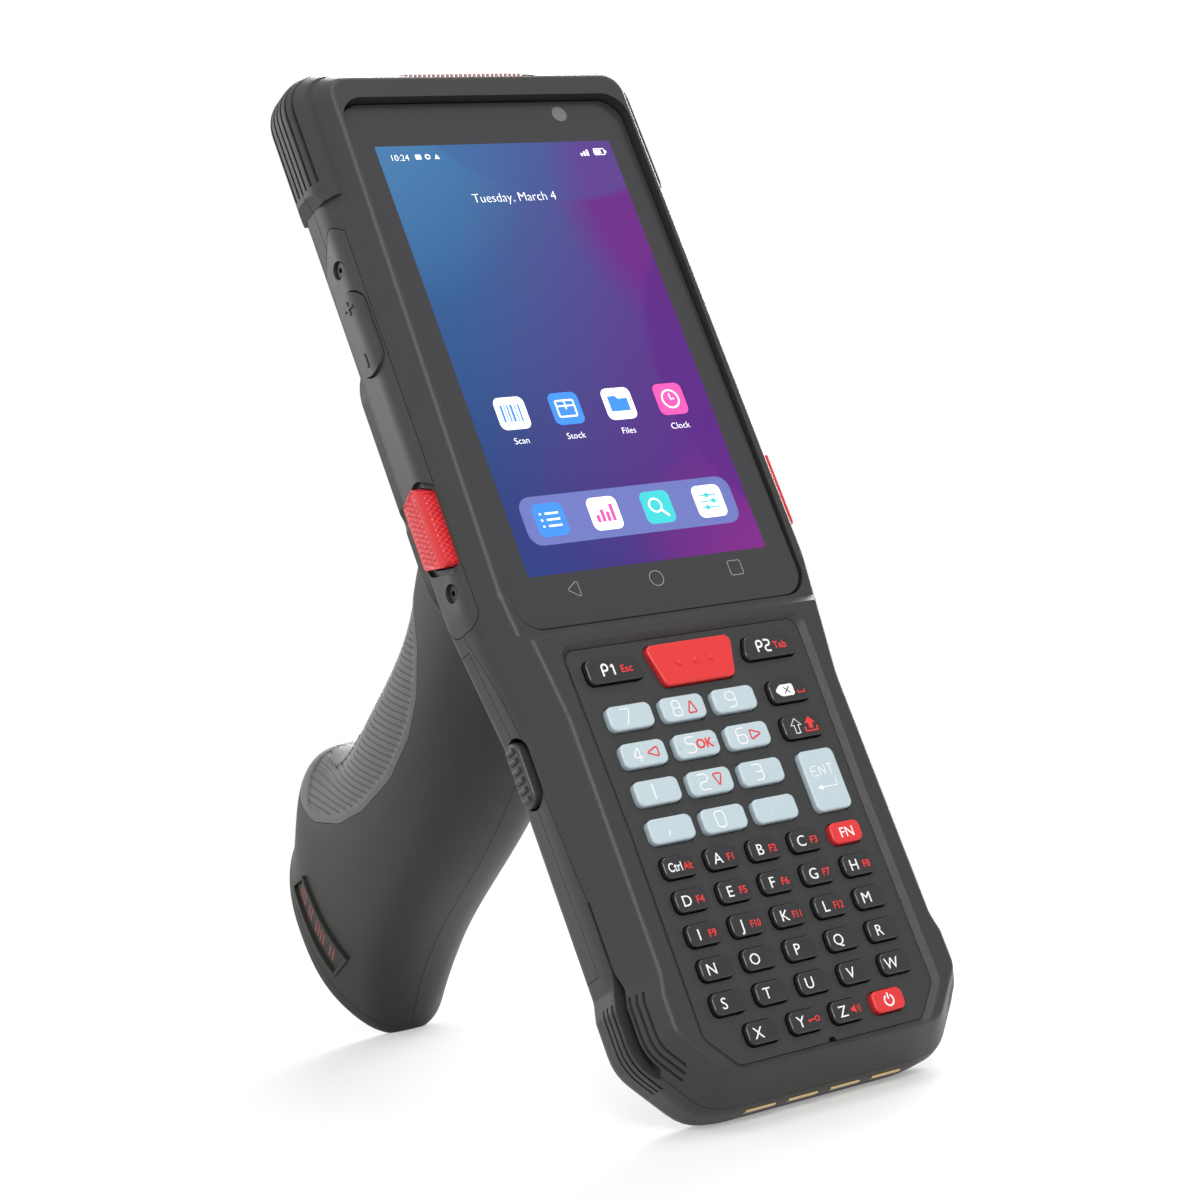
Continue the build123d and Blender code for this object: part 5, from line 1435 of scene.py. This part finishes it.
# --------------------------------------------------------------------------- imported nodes' finishes
class Dressing:
    """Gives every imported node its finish."""

    FINISHES = {
        Finish.HOUSING: ("front_housing", "rear_housing", "battery_cover"),
        Finish.PANEL: ("side_panel_left", "side_panel_right", "volume_rocker", "battery_latch_left",
                       "battery_latch_right"),
        Finish.PLATE: ("keypad_plate",),
        Finish.KEY_PALE: ("key_comma", "key_dot", "key_enter", *(f"key_{digit}" for digit in range(10))),
        Finish.KEY_BLACK: ("key_p1", "key_p2", "key_backspace", "key_shift",
                           *(row[0] for row in Keypad.ROWS)),
        Finish.KEY_RED: ("key_fn", "key_power", "scan_key"),
        Finish.BUTTON_RED: ("scan_button_left", "scan_button_right"),
        Finish.GRIP: ("grip_shell_left", "grip_shell_right", "grip_cradle", "grip_butt_cap", "trigger"),
        Finish.INSERT: ("grip_insert",),
        Finish.MAT: ("keypad_mat",),
        Finish.INNER: ("scan_engine", "trigger_switch", "battery_pack"),
        Finish.LENS: ("rear_camera",),
        Finish.WINDOW: ("scan_window",),
        Finish.REFLECTOR: ("speaker_mesh",),
        Finish.GLASS: ("screen_glass",),
        Finish.PANEL_BACK: ("display_module",),
        Finish.BOARD: ("main_board", "keypad_board"),
        Finish.GOLD: ("charging_contacts",),
        Finish.BLACKENED: ("panel_screws", "case_screws", "grip_screws"),
        Finish.STEEL: ("trigger_spring", "trigger_pin"),
    }

    def build(self) -> None:
        """Assign the finishes to the nodes' material slots."""
        for finish, nodes in self.FINISHES.items():
            for node in nodes:
                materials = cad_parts[node].data.materials
                if not materials:
                    materials.append(None)
                for index in range(len(materials)):
                    materials[index] = finish.material()
                LOG.info("%s: %s", node, finish.value.name)


# --------------------------------------------------------------------------------------- studio
@dataclass(frozen=True)
class Lamp:
    """A soft rectangular lamp: place, size and aim in metres, power in watts."""

    name: str
    place: Triple
    size: Flat
    power: float
    aim: Triple = (0.0, 0.0, 0.09)

    def build(self) -> None:
        """Hang the lamp."""
        bpy.ops.object.light_add(type="AREA", location=self.place)
        lamp = bpy.context.object
        lamp.name = self.name
        lamp.data.shape = "RECTANGLE"
        lamp.data.size, lamp.data.size_y = self.size
        lamp.data.energy = self.power
        lamp.rotation_euler = (Vector(self.aim) - Vector(self.place)).to_track_quat("-Z", "Y").to_euler()


@dataclass
class Studio:
    """The pale floor, the lamps and the camera, which stands by the terminal's own axes."""

    camera_place: Triple = (-297.93, -194.51, 383.96)
    camera_right: Triple = (0.81404, -0.32835, 0.47909)
    camera_ahead: Triple = (0.56974, 0.29118, -0.76851)
    lens: float = 86.64
    sensor: float = 36.0
    nearest: float = 0.01
    farthest: float = 20.0
    floor_radius: float = 1.6
    floor_tone: float = 0.90
    bounce_tone: float = 0.50
    lit_share: float = 0.30
    fade_start: float = 0.08
    fade_length: float = 0.13
    sky_fill: float = 0.35
    sky_gloss: float = 0.75
    lamps: tuple = (
        Lamp("lamp_behind_right", (0.90, 0.85, 0.68), (1.0, 0.9), 26.0),
        Lamp("lamp_rim_right", (1.15, 0.52, 0.30), (0.6, 0.5), 9.0),
        Lamp("lamp_behind_left", (-0.80, 1.00, 0.45), (0.8, 0.6), 5.5),
        Lamp("lamp_top", (0.0, -0.15, 1.20), (1.0, 0.8), 4.5),
        Lamp("lamp_front_left", (-0.62, -1.08, 0.85), (0.8, 0.8), 13.4),
    )

    def camera(self) -> None:
        """Stand the camera up."""
        turn = STANCE.turn()
        ahead = (turn @ Vector(self.camera_ahead)).normalized()
        right = (turn @ Vector(self.camera_right)).normalized()
        up = right.cross(ahead).normalized()
        bpy.ops.object.camera_add()
        camera = bpy.context.object
        camera.name = "camera"
        facing = Matrix((right, up, -ahead)).transposed().to_4x4()
        camera.matrix_world = Matrix.Translation(STANCE.matrix() @ Vector(self.camera_place)) @ facing
        camera.data.lens = self.lens
        camera.data.sensor_width = self.sensor
        camera.data.clip_start = self.nearest
        camera.data.clip_end = self.farthest
        bpy.context.scene.camera = camera

    def pale(self) -> bpy.types.Material:
        """The floor's surface: pale with soft shadows by the terminal, white farther off.

        Returns:
            The material.
        """
        paint = Paint("studio_floor")
        tone = paint.tone((self.floor_tone,) * 3, 0.01, paint.noise(40.0, 2.0))
        cloth = paint.wire("ShaderNodeBsdfDiffuse", {}, {"Color": tone})
        bounce = paint.wire("ShaderNodeBsdfDiffuse", {}, {"Color": (self.bounce_tone,) * 3})
        glow = paint.wire("ShaderNodeEmission", {}, {"Color": WHITE, "Strength": 1.0})
        spot = paint.wire("ShaderNodeTexCoord", output="Object")
        away = paint.wire("ShaderNodeVectorMath", {"operation": "LENGTH"}, {0: spot}, "Value")
        far = ((away - self.fade_start) / self.fade_length).clamp()
        share = self.lit_share + far * (1 - self.lit_share)
        front = paint.wire("ShaderNodeMixShader", {}, {0: share, 1: cloth, 2: glow})
        seen = paint.rays("Camera", "Glossy", "Transmission")
        both = paint.wire("ShaderNodeMixShader", {}, {0: seen, 1: bounce, 2: front})
        paint.node("ShaderNodeOutputMaterial", {}, {"Surface": both})
        return paint.owner

    def floor(self) -> None:
        """A wide level floor that ends in the white of the sky."""
        Bench.clear()
        bpy.ops.mesh.primitive_circle_add(vertices=96, radius=self.floor_radius, fill_type="NGON")
        floor = bpy.context.object
        floor.name = "studio_floor"
        floor.data.materials.append(self.pale())

    def sky(self) -> None:
        """White to the eye, near it in reflections, and a plain level of fill on surfaces."""
        paint = Paint("studio_sky", "worlds")
        seen, gloss = paint.rays("Camera", "Transmission"), paint.rays("Glossy")
        level = self.sky_fill + seen * (1 - self.sky_fill) + gloss * (self.sky_gloss - self.sky_fill)
        sky = paint.wire("ShaderNodeBackground", {}, {"Color": WHITE, "Strength": level})
        paint.node("ShaderNodeOutputWorld", {}, {"Surface": sky})
        bpy.context.scene.world = paint.owner

    def build(self) -> None:
        """Set the studio up."""
        bpy.context.scene.view_settings.view_transform = "Standard"
        self.camera()
        self.floor()
        self.sky()
        for lamp in self.lamps:
            lamp.build()


def main() -> None:
    """Build the studio, dress the nodes and add the surface pieces."""
    logging.basicConfig(level=logging.INFO, format="%(message)s")
    Bench.clear()
    for builder in (Studio(), Dressing(), Screen(), Keypad(), FingerInsert(), ScanButton(-1), ScanButton(1),
                    Reflector(), Badge(-1), Badge(1)):
        LOG.info("building %s", type(builder).__name__)
        builder.build()
    Bench.clear()


if __name__ == "__main__":
    main()
